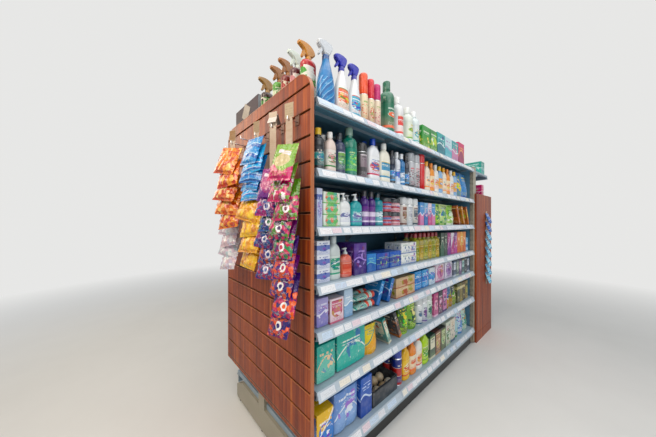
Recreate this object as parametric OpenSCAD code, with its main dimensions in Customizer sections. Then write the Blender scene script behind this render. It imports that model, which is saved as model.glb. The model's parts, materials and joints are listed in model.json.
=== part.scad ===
// A double-sided shop shelving run with a slatwall end panel, hanging packs,
// a cross bay at its far end, and the stock on its shelves.
// X runs along the shelving from the slatwall end, the deep side faces -Y and Z is up.
// The origin is on the floor under the middle of the first upright.

/* [Run] */
// Distance between the centres of two uprights
bay_pitch = 665; // [500:5:1000]
// Number of bays in the run
bays = 3; // [2:1:4]
// Depth of the shelves on the deep side
front_depth = 450; // [360:10:600]
// Depth of the shelves on the shallow side
back_depth = 350; // [300:10:600]
// Height of the base deck above the floor
base_z = 170; // [150:5:240]

/* [Uprights] */
// Width of an upright, along the run
upright_w = 30; // [26:1:40]
// Depth of an upright, across the run
spine_d = 70; // [60:1:100]
// Height of an upright above the top shelf
upright_over_h = 20; // [10:5:60]
// Pitch of the slots
slot_pitch = 50.8; // [45:0.1:60]
// Height of a slot
slot_h = 25; // [20:1:30]
// Width of a slot
slot_w = 4; // [3.5:0.1:5]
// Depth of a slot
slot_d = 14; // [11:1:20]
// Distance of each column of slots from the middle of the upright
slot_offset = 8; // [6:0.5:9]

/* [Shelf heights in slots] */
// From the base deck to shelf 1
step_1 = 6; // [5:1:9]
// From shelf 1 to shelf 2
step_2 = 5; // [4:1:9]
// From shelf 2 to shelf 3
step_3 = 4; // [4:1:9]
// From shelf 3 to shelf 4
step_4 = 5; // [4:1:9]
// From shelf 4 to shelf 5
step_5 = 5; // [4:1:9]
// From shelf 5 to the top shelf
step_6 = 6; // [5:1:9]

/* [Shelves] */
// Thickness of the folded steel sheet
sheet_t = 1.5; // [1:0.1:2.5]
// Height of the folded front lip
lip_h = 38; // [30:1:50]
// Width of the hem under the front lip
hem_w = 12; // [8:1:16]
// Height of the rear flange
rear_flange_h = 25; // [18:1:30]
// Height of the end flanges of a shelf
end_flange_h = 20; // [15:1:28]
// Space left between a shelf end and the middle of the upright
shelf_end_space = 1; // [0.5:0.1:3]
// Width of a stiffener under a shelf
stiffener_w = 45; // [30:1:60]
// Height of a stiffener under a shelf
stiffener_h = 16; // [10:1:18]
// Height of the front lip of the base deck
deck_lip_h = 80; // [60:1:90]
// Height of the end flanges of the base deck
deck_flange_h = 30; // [25:1:40]

/* [Brackets] */
// Thickness of a bracket
bracket_t = 3; // [2:0.1:3]
// Height of a bracket at the upright
bracket_h = 112; // [110:1:130]
// Height of a bracket along its arm
bracket_arm_h = 28; // [20:1:34]
// Height of a bracket at its tip
bracket_tip_h = 20; // [14:1:26]
// Reach of the tall part of a bracket
bracket_root = 60; // [40:5:90]

/* [Ticket strips] */
// Height of a ticket strip
strip_h = 38; // [30:1:45]
// How far the lower edge of a strip stands out from its top edge
strip_out = 16; // [8:1:24]
// Thickness of a strip
strip_t = 1.6; // [1:0.1:2.5]

/* [Base] */
// Height of a levelling foot
foot_h = 12; // [8:1:25]
// Diameter of a levelling foot
foot_d = 26; // [18:1:28]
// Height of a base leg at its tip
leg_tip_h = 95; // [80:1:110]
// How far the kick plate stands back from the lip of the deck
kick_back = 22; // [16:1:40]
// Height of the kick plate's top edge
kick_top = 84; // [60:1:90]

/* [Slatwall panel] */
// Width of the panel
panel_w = 980; // [960:10:1200]
// Height of the panel's bottom edge above the floor
panel_bottom = 240; // [200:5:300]
// Height of the panel above the top shelf
panel_over_h = 115; // [60:5:150]
// Radius of the two top corners
corner_r = 100; // [40:5:150]
// Thickness of the core board
core_t = 7; // [5:0.5:10]
// Depth of a groove's undercut behind the slat lips
undercut_t = 6; // [5:0.5:8]
// Thickness of a slat's lips
slat_lip_t = 5; // [4:0.5:8]
// Pitch of the grooves
groove_pitch = 109; // [90:1:150]
// Width of a groove's mouth
groove_mouth = 10; // [7:0.5:12]
// Width of a groove behind the slat lips
groove_inside = 26; // [22:0.5:32]
// Distance of the top groove below the panel's top edge
top_land = 70; // [50:1:100]
// Bevel at the lower edge of each slat
slat_bevel = 1.5; // [0.5:0.1:2]
// Thickness of the edging around the panel
edging_t = 2.5; // [1:0.1:4]

/* [Hooks and clip strips] */
// Diameter of a hook's rod
hook_d = 5; // [4:0.5:6]
// Width of a hook's plate
hook_plate_w = 32; // [24:1:40]
// Height of a hook's plate
hook_plate_h = 42; // [36:1:60]
// Thickness of a hook's plate
hook_plate_t = 2; // [1.5:0.1:3]
// Rise of a hook's tip
hook_rise = 14; // [8:1:24]
// Width of a clip strip
clip_w = 36; // [20:1:48]
// Thickness of a clip strip
clip_t = 1.2; // [0.8:0.1:2]
// Width of the header at a clip strip's top
header_w = 46; // [36:1:56]
// Height of the header above its hook
header_h = 74; // [40:1:90]
// Tilt of the hanging packs away from their strip
bag_tilt = 20; // [18:1:26]
// Thickness of a hanging pack
bag_t = 20; // [12:1:20]

/* [Cross bay] */
// Depth of the cross bay's uprights
cross_spine_d = 80; // [60:1:100]
// Depth of the cross bay's shelves
cross_depth = 450; // [350:10:600]
// Thickness of a side panel
side_panel_t = 18; // [15:1:25]
// Height of a side panel
side_panel_h = 1500; // [1200:10:1700]
// How far a side panel runs past the shelves
side_panel_past = 25; // [18:1:60]
// Height of the plinth line in a side panel
plinth_h = 90; // [60:1:150]

/* [Stock] */
// Space between two goods side by side
facing_gap = 6; // [3:1:12]
// How far the goods stand back from the front lip
stock_back = 22; // [10:1:60]
// Depth of the goods' zone on the deep side
front_zone = 205; // [200:5:220]
// Depth of the goods' zone on the shallow side
back_zone = 165; // [160:5:180]
// Length left free at each end of a shelf
stock_margin = 22; // [18:1:60]

/* [Hidden] */

seat = 0.3;
STEEL = "#c3ccd2";
SHADE = "#5f707c";
CREAM = "#d8d3c4";
WOOD = "#8a4528";
run_l = bays * bay_pitch;
steps = [step_1, step_2, step_3, step_4, step_5, step_6];
cross_steps = [7, 7, 6, 6, 5];
leg_top = base_z - deck_flange_h - seat;
cross_pitch = 2 * (spine_d / 2 + front_depth) - upright_w;

function sum(v, n) = n <= 0 ? 0 : v[n - 1] + sum(v, n - 1);
function level(i) = base_z + slot_pitch * sum(steps, i);
function cross_level(i) = base_z + slot_pitch * sum(cross_steps, i);
top_z = level(6);
upright_h = top_z + upright_over_h;
cross_upright_h = cross_level(5) + upright_over_h;

// Offset of an open path to its right by t, mitred at each corner
function unit(v) = v / norm(v);
function right_of(v) = [v[1], -v[0]];
function mitred(p, i, t) =
    let (
        last = len(p) - 1,
        before = unit(p[max(i, 1)] - p[max(i, 1) - 1]),
        after = unit(p[min(i + 1, last)] - p[min(i + 1, last) - 1]),
        n = unit(right_of(before) + right_of(after))
    )
    p[i] + n * t / (n * right_of(before));
function folded(p, t) = concat(p, [for (i = [len(p) - 1:-1:0]) mitred(p, i, t)]);
function arc(x, y, r, from, to, n) =
    [for (i = [0:n]) let (a = from + (to - from) * i / n) [x + r * cos(a), y + r * sin(a)]];

// Draws a profile of depth and height as a bar along X
module along(x, length) {
    translate([x, 0, 0])
        rotate([90, 0, 90])
            linear_extrude(length) children();
}

// Turns what faces +Y to the deep side
module deep_side() {
    mirror([0, 1, 0]) children();
}

// Puts what stands along X and faces +Y across the far end, facing +X
cross_x = run_l + upright_w / 2 + seat;
module across_end() {
    translate([cross_x + cross_spine_d / 2, cross_pitch / 2, 0])
        rotate([0, 0, -90]) children();
}

// Spine

module upright(x, depth, height) {
    rows = floor((height - base_z) / slot_pitch) + floor((base_z - foot_h) / slot_pitch);
    first = base_z - slot_pitch * floor((base_z - foot_h - slot_h / 2) / slot_pitch);
    translate([x - upright_w / 2, -depth / 2, foot_h])
        difference() {
            cube([upright_w, depth, height - foot_h]);
            for (k = [0:rows], side = [-1, 1], face = [0, 1])
                if (first + k * slot_pitch + slot_h / 2 < height - 2)
                    translate([
                        upright_w / 2 + side * slot_offset - slot_w / 2,
                        face == 0 ? -1 : depth - slot_d,
                        first + k * slot_pitch - slot_h / 2 - foot_h
                    ])
                        cube([slot_w, slot_d + 1, slot_h]);
        }
}

module spine_uprights() {
    color(CREAM)
        for (i = [0:bays]) upright(i * bay_pitch, spine_d, upright_h);
}

rail_h = 40;
rail_d = 30;
module rails(pitch, height) {
    for (z = [foot_h + 8, height - rail_h])
        translate([upright_w / 2 + seat, -rail_d / 2, z])
            cube([pitch - upright_w - 2 * seat, rail_d, rail_h]);
}

module spine_rails() {
    color(STEEL)
        for (i = [0:bays - 1])
            translate([i * bay_pitch, 0, 0]) rails(bay_pitch, upright_h);
}

panel_rows = 4;
panel_inset = 3;
module panel_stack(pitch, depth, height) {
    low = foot_h + 8;
    tall = (height - low) / panel_rows;
    for (k = [0:panel_rows - 1], side = [-1, 1])
        translate([
            upright_w / 2 + seat,
            side * (depth / 2 - panel_inset) - sheet_t / 2,
            low + k * tall
        ])
            cube([pitch - upright_w - 2 * seat, sheet_t, tall - seat]);
}

module back_panels() {
    color(SHADE)
        for (i = [0:bays - 1])
            translate([i * bay_pitch, 0, 0]) panel_stack(bay_pitch, spine_d, upright_h);
}

// Base

module foot(x, y) {
    translate([x, y, 0]) {
        cylinder(d = foot_d, h = foot_h / 2, $fn = 32);
        cylinder(d = foot_d / 2, h = foot_h, $fn = 32);
    }
}

foot_inset = 45;
module levelling_feet() {
    color("#3a3d40") {
        for (i = [0:bays]) {
            foot(i * bay_pitch, 0);
            foot(i * bay_pitch, -spine_d / 2 - front_depth + kick_back + foot_inset);
            foot(i * bay_pitch, spine_d / 2 + back_depth - kick_back - foot_inset);
        }
        across_end()
            for (x = [0, cross_pitch]) {
                foot(x, 0);
                foot(x, cross_spine_d / 2 + cross_depth - kick_back - foot_inset);
            }
    }
}

leg_toe = 25;
leg_slope_w = 90;
module base_leg(x, spine, depth) {
    start = spine / 2 + seat;
    tip = spine / 2 + depth - kick_back;
    along(x - upright_w / 2, upright_w)
        polygon([
            [start, foot_h], [tip - leg_toe / 2, foot_h], [tip, foot_h + leg_toe / 2],
            [tip, leg_tip_h], [tip - leg_slope_w, leg_top], [start, leg_top]
        ]);
}

module base_legs() {
    color(CREAM)
        for (i = [0:bays]) {
            deep_side() base_leg(i * bay_pitch, spine_d, front_depth);
            base_leg(i * bay_pitch, spine_d, back_depth);
        }
}

module kick_plate(pitch, spine, depth) {
    along(shelf_end_space, pitch - 2 * shelf_end_space)
        translate([spine / 2 + depth - kick_back + seat, 2])
            square([sheet_t, kick_top - 2]);
}

// Shelves

module tray(pitch, spine, depth, z, front_h, side_h) {
    start = spine / 2 + seat;
    lip = spine / 2 + depth;
    length = pitch - 2 * shelf_end_space;
    shell = [
        [start, z - rear_flange_h], [start, z], [lip, z],
        [lip, z - front_h], [lip - hem_w, z - front_h]
    ];
    flange = [
        [start + sheet_t / 2, z - sheet_t / 2], [lip - sheet_t / 2, z - sheet_t / 2],
        [lip - sheet_t / 2, z - side_h], [start + sheet_t / 2, z - side_h]
    ];
    inner = bracket_t + slot_offset + slot_w;
    along(shelf_end_space, length) polygon(folded(shell, sheet_t));
    for (x = [shelf_end_space, shelf_end_space + length - sheet_t])
        along(x, sheet_t) polygon(flange);
    for (share = [0.3, 0.72])
        along(inner, pitch - 2 * inner)
            stiffener(start + depth * share - stiffener_w / 2, z - sheet_t);
}

module stiffener(y, z) {
    path = [
        [y, z + sheet_t / 2], [y, z - stiffener_h],
        [y + stiffener_w, z - stiffener_h], [y + stiffener_w, z + sheet_t / 2]
    ];
    polygon(folded(path, -sheet_t));
}

module shelf_bank(spine, depth) {
    for (i = [0:bays - 1], k = [1:6])
        translate([i * bay_pitch, 0, 0])
            tray(bay_pitch, spine, depth, level(k), lip_h, end_flange_h);
}

module base_decks() {
    color(STEEL)
        for (i = [0:bays - 1])
            translate([i * bay_pitch, 0, 0]) {
                deep_side()
                    tray(bay_pitch, spine_d, front_depth, base_z, deck_lip_h, deck_flange_h);
                tray(bay_pitch, spine_d, back_depth, base_z, deck_lip_h, deck_flange_h);
            }
}

module front_shelves() {
    color(STEEL) deep_side() shelf_bank(spine_d, front_depth);
}

module back_shelves() {
    color(STEEL) shelf_bank(spine_d, back_depth);
}

// Brackets hook into the slots one and two pitches below the shelf

tab_h = 16;
module bracket(x, spine, depth, z) {
    top = z - sheet_t - seat;
    root = spine / 2 + seat;
    tip = spine / 2 + depth - hem_w - 6;
    along(x - bracket_t / 2, bracket_t) {
        polygon([
            [root, top], [tip, top], [tip, top - bracket_tip_h],
            [root + bracket_root + 90, top - bracket_arm_h],
            [root + bracket_root, top - bracket_h * 0.6], [root + 12, top - bracket_h],
            [root, top - bracket_h]
        ]);
        for (k = [1, 2])
            translate([spine / 2 - slot_d + 4, z - k * slot_pitch - tab_h / 2])
                square([slot_d - 4 + seat + 1, tab_h]);
    }
}

module bracket_pair(pitch, spine, depth, z) {
    bracket(slot_offset, spine, depth, z);
    bracket(pitch - slot_offset, spine, depth, z);
}

module bracket_bank(depth) {
    for (i = [0:bays - 1], k = [1:6])
        translate([i * bay_pitch, 0, 0]) bracket_pair(bay_pitch, spine_d, depth, level(k));
}

module front_brackets() {
    color(STEEL) deep_side() bracket_bank(front_depth);
}

module back_brackets() {
    color(STEEL) bracket_bank(back_depth);
}

// Ticket strips

module ticket_strip(pitch, spine, depth, z) {
    lip = spine / 2 + depth + seat;
    top = z - 1;
    path = [
        [lip, top - strip_h + 10], [lip, top], [lip + 4, top],
        [lip + 4 + strip_out, top - strip_h], [lip + strip_out - 2, top - strip_h - 2]
    ];
    along(shelf_end_space, pitch - 2 * shelf_end_space) polygon(folded(path, strip_t));
}

module strip_bank(depth) {
    for (i = [0:bays - 1], k = [0:6])
        translate([i * bay_pitch, 0, 0]) ticket_strip(bay_pitch, spine_d, depth, level(k));
}

module front_ticket_strips() {
    color("#e8edf0") deep_side() strip_bank(front_depth);
}

module back_ticket_strips() {
    color("#e8edf0") strip_bank(back_depth);
}

module kick_plates() {
    color("#1b1c1e") {
        for (i = [0:bays - 1])
            translate([i * bay_pitch, 0, 0]) {
                deep_side() kick_plate(bay_pitch, spine_d, front_depth);
                kick_plate(bay_pitch, spine_d, back_depth);
            }
        across_end() kick_plate(cross_pitch, cross_spine_d, cross_depth);
    }
}

// Slatwall panel, facing -X

panel_top = top_z + panel_over_h;
board_h = panel_top - panel_bottom;
board_t = core_t + undercut_t + slat_lip_t;
board_x = -upright_w / 2 - seat;
face_x = board_x - board_t;
edging_seat = 0.1;
edge = edging_t + edging_seat;
grooves = floor((board_h - top_land - groove_inside) / groove_pitch) + 1;
function groove_z(k) = panel_top - top_land - k * groove_pitch;

module outline(inset) {
    translate([-panel_w / 2 + inset, panel_bottom + inset])
        square([panel_w - 2 * inset, board_h - corner_r - inset]);
    translate([-panel_w / 2 + corner_r, panel_bottom + inset])
        square([panel_w - 2 * corner_r, board_h - 2 * inset]);
    for (side = [-1, 1])
        translate([side * (panel_w / 2 - corner_r), panel_top - corner_r])
            circle(r = corner_r - inset, $fn = 64);
}

module slatwall_core() {
    color(WOOD) along(board_x - core_t, core_t) outline(edge);
}

// One slat, with a lip over the groove at each edge that has one
module slat(low, high, low_lip, high_lip) {
    back = face_x + slat_lip_t;
    translate([0, panel_w / 2 - edge, 0])
        rotate([90, 0, 0])
            linear_extrude(panel_w - 2 * edge)
                polygon([
                    [face_x, low + slat_bevel], [face_x + slat_bevel, low], [back, low],
                    [back, low + low_lip], [back + undercut_t, low + low_lip],
                    [back + undercut_t, high - high_lip], [back, high - high_lip],
                    [back, high], [face_x + slat_bevel, high], [face_x, high - slat_bevel]
                ]);
}

module slatwall_slats() {
    lip = (groove_inside - groove_mouth) / 2;
    color(WOOD)
        intersection() {
            for (k = [0:grooves])
                slat(
                    k == grooves ? panel_bottom + edge : groove_z(k) + groove_mouth / 2,
                    k == 0 ? panel_top - edge : groove_z(k - 1) - groove_mouth / 2,
                    k == grooves ? 0.01 : lip,
                    k == 0 ? 0.01 : lip
                );
            along(face_x, board_t) outline(edge);
        }
}

module slatwall_edging() {
    color("#a9603f")
        along(face_x, board_t) {
            for (side = [0, 1])
                translate([side == 0 ? -panel_w / 2 : panel_w / 2 - edging_t, panel_bottom])
                    square([edging_t, board_h - corner_r]);
            translate([-panel_w / 2 + edging_t + edging_seat, panel_bottom])
                square([panel_w - 2 * edge, edging_t]);
            translate([-panel_w / 2 + corner_r, panel_top - edging_t])
                square([panel_w - 2 * corner_r, edging_t]);
        }
    color("#a9603f")
        for (side = [0, 1])
            mirror([0, side, 0])
                along(face_x, board_t) corner_edging();
}

module corner_edging() {
    translate([panel_w / 2 - corner_r + edging_seat, panel_top - corner_r + edging_seat])
        intersection() {
            difference() {
                circle(r = corner_r - edging_seat, $fn = 64);
                circle(r = corner_r - edging_t, $fn = 64);
            }
            square(corner_r);
        }
}

// Hooks, clip strips and hanging packs. Each strip is
// [y, groove it hooks into, reach of its hook, turn towards the aisle]
strips = [
    [-394, 1, 52, 22], [-270, 1, 62, 26], [-120, 1, 74, 14], [82, 1, 122, 24], [175, 3, 78, 16]
];
// Each group is [strip, drop below the hook, packs, width, height, pitch]
green_group = [0, 104, 9, 108, 186, 80];
purple_group = [1, 196, 6, 104, 165, 70];
blue_group = [2, 8, 5, 150, 150, 48];
yellow_group = [2, 288, 4, 150, 165, 78];
orange_group = [3, 30, 5, 150, 164, 74];
white_group = [4, 165, 4, 150, 150, 66];
groups = [green_group, purple_group, blue_group, yellow_group, orange_group, white_group];
spare_hooks = [[-25, 1, 110], [205, 1, 110]];
hook_drop = 28;
hole_play = 4;

function strip_hook_z(i) = groove_z(strips[i][1]) - hook_drop;
function strip_x(i) = face_x - seat - strips[i][2] + hook_d * 1.5;
function strip_end(i) =
    max([for (g = groups) if (g[0] == i) g[1] + (g[2] - 1) * g[5] + clip_w]);

module hook(y, groove, reach) {
    z = groove_z(groove);
    out = face_x - seat;
    tongue = out + seat + slat_lip_t + hook_plate_t + 1;
    path = [
        [out, z - hook_plate_h], [out, z - hook_plate_t],
        [tongue, z - hook_plate_t], [tongue, z + groove_inside / 2 - 3]
    ];
    translate([0, y + hook_plate_w / 2, 0])
        rotate([90, 0, 0])
            linear_extrude(hook_plate_w) polygon(folded(path, -hook_plate_t));
    translate([out - hook_plate_t / 2, y, z - hook_drop])
        rotate([0, -90, 0]) cylinder(d = hook_d, h = reach, $fn = 24);
    translate([out - hook_plate_t / 2 - reach, y, z - hook_drop]) {
        sphere(d = hook_d, $fn = 24);
        cylinder(d = hook_d, h = hook_rise, $fn = 24);
    }
}

module display_hooks() {
    color("#b9bec2") {
        for (s = strips) hook(s[0], s[1], s[2]);
        for (s = spare_hooks) hook(s[0], s[1], s[2]);
    }
}

module clip_strip(i) {
    hole_r = (hook_d + hole_play) / 2;
    head = hook_d / 2 + seat - hole_r;
    translate([strip_x(i), strips[i][0], strip_hook_z(i) + head])
        rotate([0, 0, strips[i][3]])
            translate([-clip_t / 2, 0, 0])
                along(0, clip_t)
                    difference() {
                        union() {
                            circle(d = clip_w, $fn = 48);
                            translate([-clip_w / 2, -strip_end(i)])
                                square([clip_w, strip_end(i)]);
                            translate([-header_w / 2, clip_w / 4])
                                square([header_w, header_h - clip_w / 4]);
                        }
                        circle(r = hole_r, $fn = 24);
                    }
}

side_strip_place = 0.64;
side_strip_x = cross_x + cross_spine_d + side_strip_place * cross_depth;
side_strip_z = 1330;
side_strip_l = 790;
side_strip_y = -cross_pitch / 2 - upright_w / 2 - 2 * seat - side_panel_t;
module clip_strips() {
    color("#cfd6d8") {
        for (i = [0:len(strips) - 1]) clip_strip(i);
        translate([side_strip_x - clip_w / 2, side_strip_y - clip_t, side_strip_z - side_strip_l])
            cube([clip_w, clip_t, side_strip_l]);
    }
}

// A sealed pack that hangs from the origin, flat at its top and bottom seams
bag_rings = 5;
bag_roll = 3;
function belly(share) = max(0.05, pow(sin(180 * share), 0.7));
function bag_ring(w, h, t, share) =
    [for (k = [0:7])
        let (a = 45 * k, bulge = t / 2 * belly(share))
        [bulge * sin(a), w / 2 * cos(a) * (1 - 0.05 * sin(180 * share)), -h * share]];
module bag(w, h, t) {
    points = [for (i = [0:bag_rings]) each bag_ring(w, h, t, i / bag_rings)];
    top = [for (k = [0:7]) k];
    bottom = [for (k = [7:-1:0]) bag_rings * 8 + k];
    sides = [
        for (i = [0:bag_rings - 1], k = [0:7])
            let (a = i * 8 + k, b = i * 8 + (k + 1) % 8)
            each [[a, a + 8, b + 8], [a, b + 8, b]]
    ];
    polyhedron(points, concat([top, bottom], sides), convexity = 2);
}

module bag_group(g) {
    i = g[0];
    thick = min(bag_t, g[5] * sin(bag_tilt) - 2);
    translate([strip_x(i), strips[i][0], strip_hook_z(i) - g[1]])
        rotate([0, 0, strips[i][3]])
            for (k = [0:g[2] - 1])
                translate([-clip_t / 2 - seat - 0.5, 0, -k * g[5]])
                    rotate([0, bag_tilt, 0])
                        rotate([bag_roll * sin(137 * k + 40 * i), 0, 0]) bag(g[3], g[4], thick);
}

module green_bags() { color("#7fae3a") bag_group(green_group); }
module purple_bags() { color("#a2287f") bag_group(purple_group); }
module blue_bags() { color("#2b8fd0") bag_group(blue_group); }
module yellow_bags() { color("#f2b51d") bag_group(yellow_group); }
module orange_bags() { color("#ee8f30") bag_group(orange_group); }
module white_bags() { color("#e9d5d8") bag_group(white_group); }

// Cross bay

module cross_bay_uprights() {
    color(CREAM)
        across_end() {
            upright(0, cross_spine_d, cross_upright_h);
            upright(cross_pitch, cross_spine_d, cross_upright_h);
        }
}

module cross_bay_rails() {
    color(STEEL) across_end() rails(cross_pitch, cross_upright_h);
}

module cross_bay_back_panels() {
    color(SHADE) across_end() panel_stack(cross_pitch, cross_spine_d, cross_upright_h);
}

module cross_bay_legs() {
    color(CREAM)
        across_end()
            for (x = [0, cross_pitch]) base_leg(x, cross_spine_d, cross_depth);
}

module cross_bay_deck() {
    color(STEEL)
        across_end()
            tray(cross_pitch, cross_spine_d, cross_depth, base_z, deck_lip_h, deck_flange_h);
}

module cross_bay_shelves() {
    color(STEEL)
        across_end()
            for (k = [1:5])
                tray(cross_pitch, cross_spine_d, cross_depth, cross_level(k), lip_h, end_flange_h);
}

module cross_bay_brackets() {
    color(STEEL)
        across_end()
            for (k = [1:5])
                bracket_pair(cross_pitch, cross_spine_d, cross_depth, cross_level(k));
}

module cross_bay_ticket_strips() {
    color("#e8edf0")
        across_end()
            for (k = [0:5])
                ticket_strip(cross_pitch, cross_spine_d, cross_depth, cross_level(k));
}

plinth_line = 3;
module cross_bay_side_panels() {
    out = cross_pitch / 2 + upright_w / 2 + seat;
    reach = cross_depth + side_panel_past;
    color(WOOD)
        for (side = [0, 1])
            mirror([0, side, 0])
                translate([cross_x + cross_spine_d / 2, out, 0])
                    difference() {
                        cube([cross_spine_d / 2 + reach, side_panel_t, side_panel_h]);
                        translate([-1, side_panel_t - plinth_line, plinth_h])
                            cube([cross_spine_d / 2 + reach + 2, plinth_line + 1, plinth_line]);
                    }
}

module cross_bay_side_packs() {
    color("#7cc4e0")
        for (k = [0:7])
            translate([side_strip_x, side_strip_y - clip_t - seat - 0.5, side_strip_z - 20 - k * 92])
                rotate([0, 0, 90])
                    rotate([0, bag_tilt, 0]) bag(96, 118, bag_t);
}

// Goods. Each form fills width w, depth d and height h, with its front on y = 0

module carton(w, d, h) {
    cube([w, d, h]);
}

module bottle(w, d, h) {
    r = w / 2;
    neck = r * 0.42;
    shoulder = h * 0.66;
    cap_h = h * 0.16;
    translate([r, r, 0])
        rotate_extrude($fn = 48)
            polygon(concat(
                [[0, 0], [r - 3, 0], [r, 3]],
                arc(r - neck, shoulder, neck, 0, 70, 3),
                [[neck, h - cap_h - 2], [neck, h - cap_h], [neck + 3, h - cap_h]],
                [[neck + 2.5, h - 2], [neck, h], [0, h]]
            ));
}

module can(w, d, h) {
    r = w / 2;
    cap_h = h * 0.24;
    translate([r, r, 0])
        rotate_extrude($fn = 48)
            polygon(concat(
                [[0, 1.5], [r - 4, 1.5], [r - 3, 0], [r, 2], [r, h - cap_h - 8]],
                [[r - 4, h - cap_h - 2], [r - 4, h - cap_h], [r - 2, h - cap_h]],
                arc(r - 12, h - 10, 10, 0, 90, 3),
                [[0, h]]
            ));
}

module jar(w, d, h) {
    r = w / 2;
    lid_h = h * 0.3;
    translate([r, r, 0])
        rotate_extrude($fn = 48)
            polygon(concat(
                [[0, 0], [r - 4, 0], [r, 4], [r, h - lid_h - 7]],
                [[r - 5, h - lid_h - 1], [r - 5, h - lid_h], [r - 1, h - lid_h]],
                [[r - 1, h - 3], [r - 4, h], [0, h]]
            ));
}

module oval(w, d) {
    translate([d / 2, 0]) square([w - d, d]);
    for (x = [d / 2, w - d / 2]) translate([x, d / 2]) circle(d = d, $fn = 40);
}

// A body of oval section with a stepped shoulder
module flask_body(w, d, h) {
    linear_extrude(h * 0.86) oval(w, d);
    translate([w * 0.12, d * 0.1, h * 0.86 - 0.5])
        linear_extrude(h * 0.09 + 0.5) oval(w * 0.76, d * 0.8);
    translate([w * 0.28, d * 0.2, h * 0.95 - 0.5])
        linear_extrude(h * 0.05 + 0.5) oval(max(w * 0.44, d * 0.62), d * 0.6);
}

module flask(w, d, h) {
    cap = d * 0.62;
    flask_body(w, d, h * 0.84);
    translate([w / 2, d / 2, h * 0.84 - 0.5]) cylinder(d = cap, h = h * 0.16 + 0.5, $fn = 32);
}

module pump(w, d, h) {
    flask_body(w, d, h * 0.78);
    translate([w / 2, d / 2, h * 0.78 - 0.5]) {
        cylinder(d = d * 0.5, h = h * 0.08, $fn = 32);
        cylinder(d = d * 0.16, h = h * 0.18, $fn = 24);
    }
    translate([w / 2 - d * 0.5, d * 0.38, h * 0.93])
        cube([d * 0.68, d * 0.24, h * 0.07]);
}

// The head's nozzle points to -X and its trigger hangs below the nozzle
module trigger(w, d, h) {
    flask_body(w, d, h * 0.72);
    neck = d * 0.5;
    translate([w / 2, d / 2, h * 0.72 - 0.5]) cylinder(d = neck, h = h * 0.1, $fn = 32);
    translate([0, d * 0.68, h * 0.8])
        rotate([90, 0, 0])
            linear_extrude(d * 0.36)
                polygon([
                    [w * 0.36, 0], [w * 0.3, h * 0.05], [w * 0.1, h * -0.04],
                    [w * 0.04, h * -0.02], [w * 0.2, h * 0.09], [0, h * 0.11],
                    [0, h * 0.17], [w * 0.3, h * 0.2], [w * 0.75, h * 0.19],
                    [w * 0.86, h * 0.14], [w * 0.68, 0]
                ]);
}

// A straight bottle with a long trigger head that reaches out over the end panel
module sprayer(w, d, h) {
    linear_extrude(h * 0.7) oval(w, d);
    translate([w * 0.06, d * 0.06, h * 0.7 - 0.5])
        linear_extrude(h * 0.05 + 0.5) oval(w * 0.88, d * 0.88);
    translate([w / 2, d / 2, h * 0.75 - 0.5]) cylinder(d = d * 0.5, h = h * 0.08, $fn = 32);
    translate([0, d * 0.7, h * 0.8])
        rotate([90, 0, 0])
            linear_extrude(d * 0.4)
                polygon([
                    [w * 0.34, 0], [w * 0.26, h * 0.05], [w * 0.08, h * -0.03],
                    [0, h * -0.01], [w * 0.12, h * 0.09], [w * -0.2, h * 0.14],
                    [w * -0.18, h * 0.19], [w * 0.3, h * 0.2], [w * 0.72, h * 0.17],
                    [w * 0.98, h * 0.1], [w * 0.94, h * 0.06], [w * 0.68, 0]
                ]);
}

module slab(w, d, h, r) {
    translate([r, r]) square([w - 2 * r, h - 2 * r]);
    for (x = [0, 1]) translate([x * (w - r), r]) square([r, h - 2 * r]);
    for (y = [0, 1]) translate([r, y * (h - r)]) square([w - 2 * r, r]);
    for (x = [r, w - r], y = [r, h - r]) translate([x, y]) circle(r = r, $fn = 32);
}

// A soft block, rounded in its front and side outlines
module pack(w, d, h) {
    r = min(w, d, h) * 0.22;
    intersection() {
        translate([0, d, 0]) rotate([90, 0, 0]) linear_extrude(d) slab(w, d, h, r);
        along(0, w) slab(d, w, h, r);
    }
}

// A standing pouch that narrows to its top seam
module pouch(w, d, h) {
    along(0, w)
        polygon([
            [d * 0.1, 0], [d * 0.9, 0], [d, h * 0.12], [d * 0.86, h * 0.55],
            [d * 0.54, h * 0.95], [d * 0.54, h], [d * 0.46, h], [d * 0.46, h * 0.95],
            [d * 0.14, h * 0.55], [0, h * 0.12]
        ]);
}

// A thin carton that leans on its right neighbour
lean_angle = 24;
module lean(w, d, h) {
    t = (w - h * tan(lean_angle)) * cos(lean_angle);
    translate([t * cos(lean_angle), 0, 0])
        rotate([0, lean_angle, 0])
            translate([-t, 0, 0])
                cube([t, d, (h - t * sin(lean_angle)) / cos(lean_angle)]);
}

// The same, leaning on its left neighbour
module tilt(w, d, h) {
    translate([w, 0, 0]) mirror([1, 0, 0]) lean(w, d, h);
}

// A tube that lies along the shelf, flat at its left seam
module tube(w, d, h) {
    translate([0, d / 2, h / 2])
        rotate([0, 90, 0]) {
            cylinder(d = h, h = w * 0.86, $fn = 40);
            translate([0, 0, w * 0.86]) cylinder(d = h * 0.8, h = w * 0.14, $fn = 40);
        }
}

module item(kind, w, d, h) {
    if (kind == "carton") carton(w, d, h);
    if (kind == "bottle") bottle(w, d, h);
    if (kind == "can") can(w, d, h);
    if (kind == "jar") jar(w, d, h);
    if (kind == "flask") flask(w, d, h);
    if (kind == "pump") pump(w, d, h);
    if (kind == "trigger") trigger(w, d, h);
    if (kind == "pack") pack(w, d, h);
    if (kind == "pouch") pouch(w, d, h);
    if (kind == "lean") lean(w, d, h);
    if (kind == "tilt") tilt(w, d, h);
    if (kind == "tube") tube(w, d, h);
}

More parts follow.
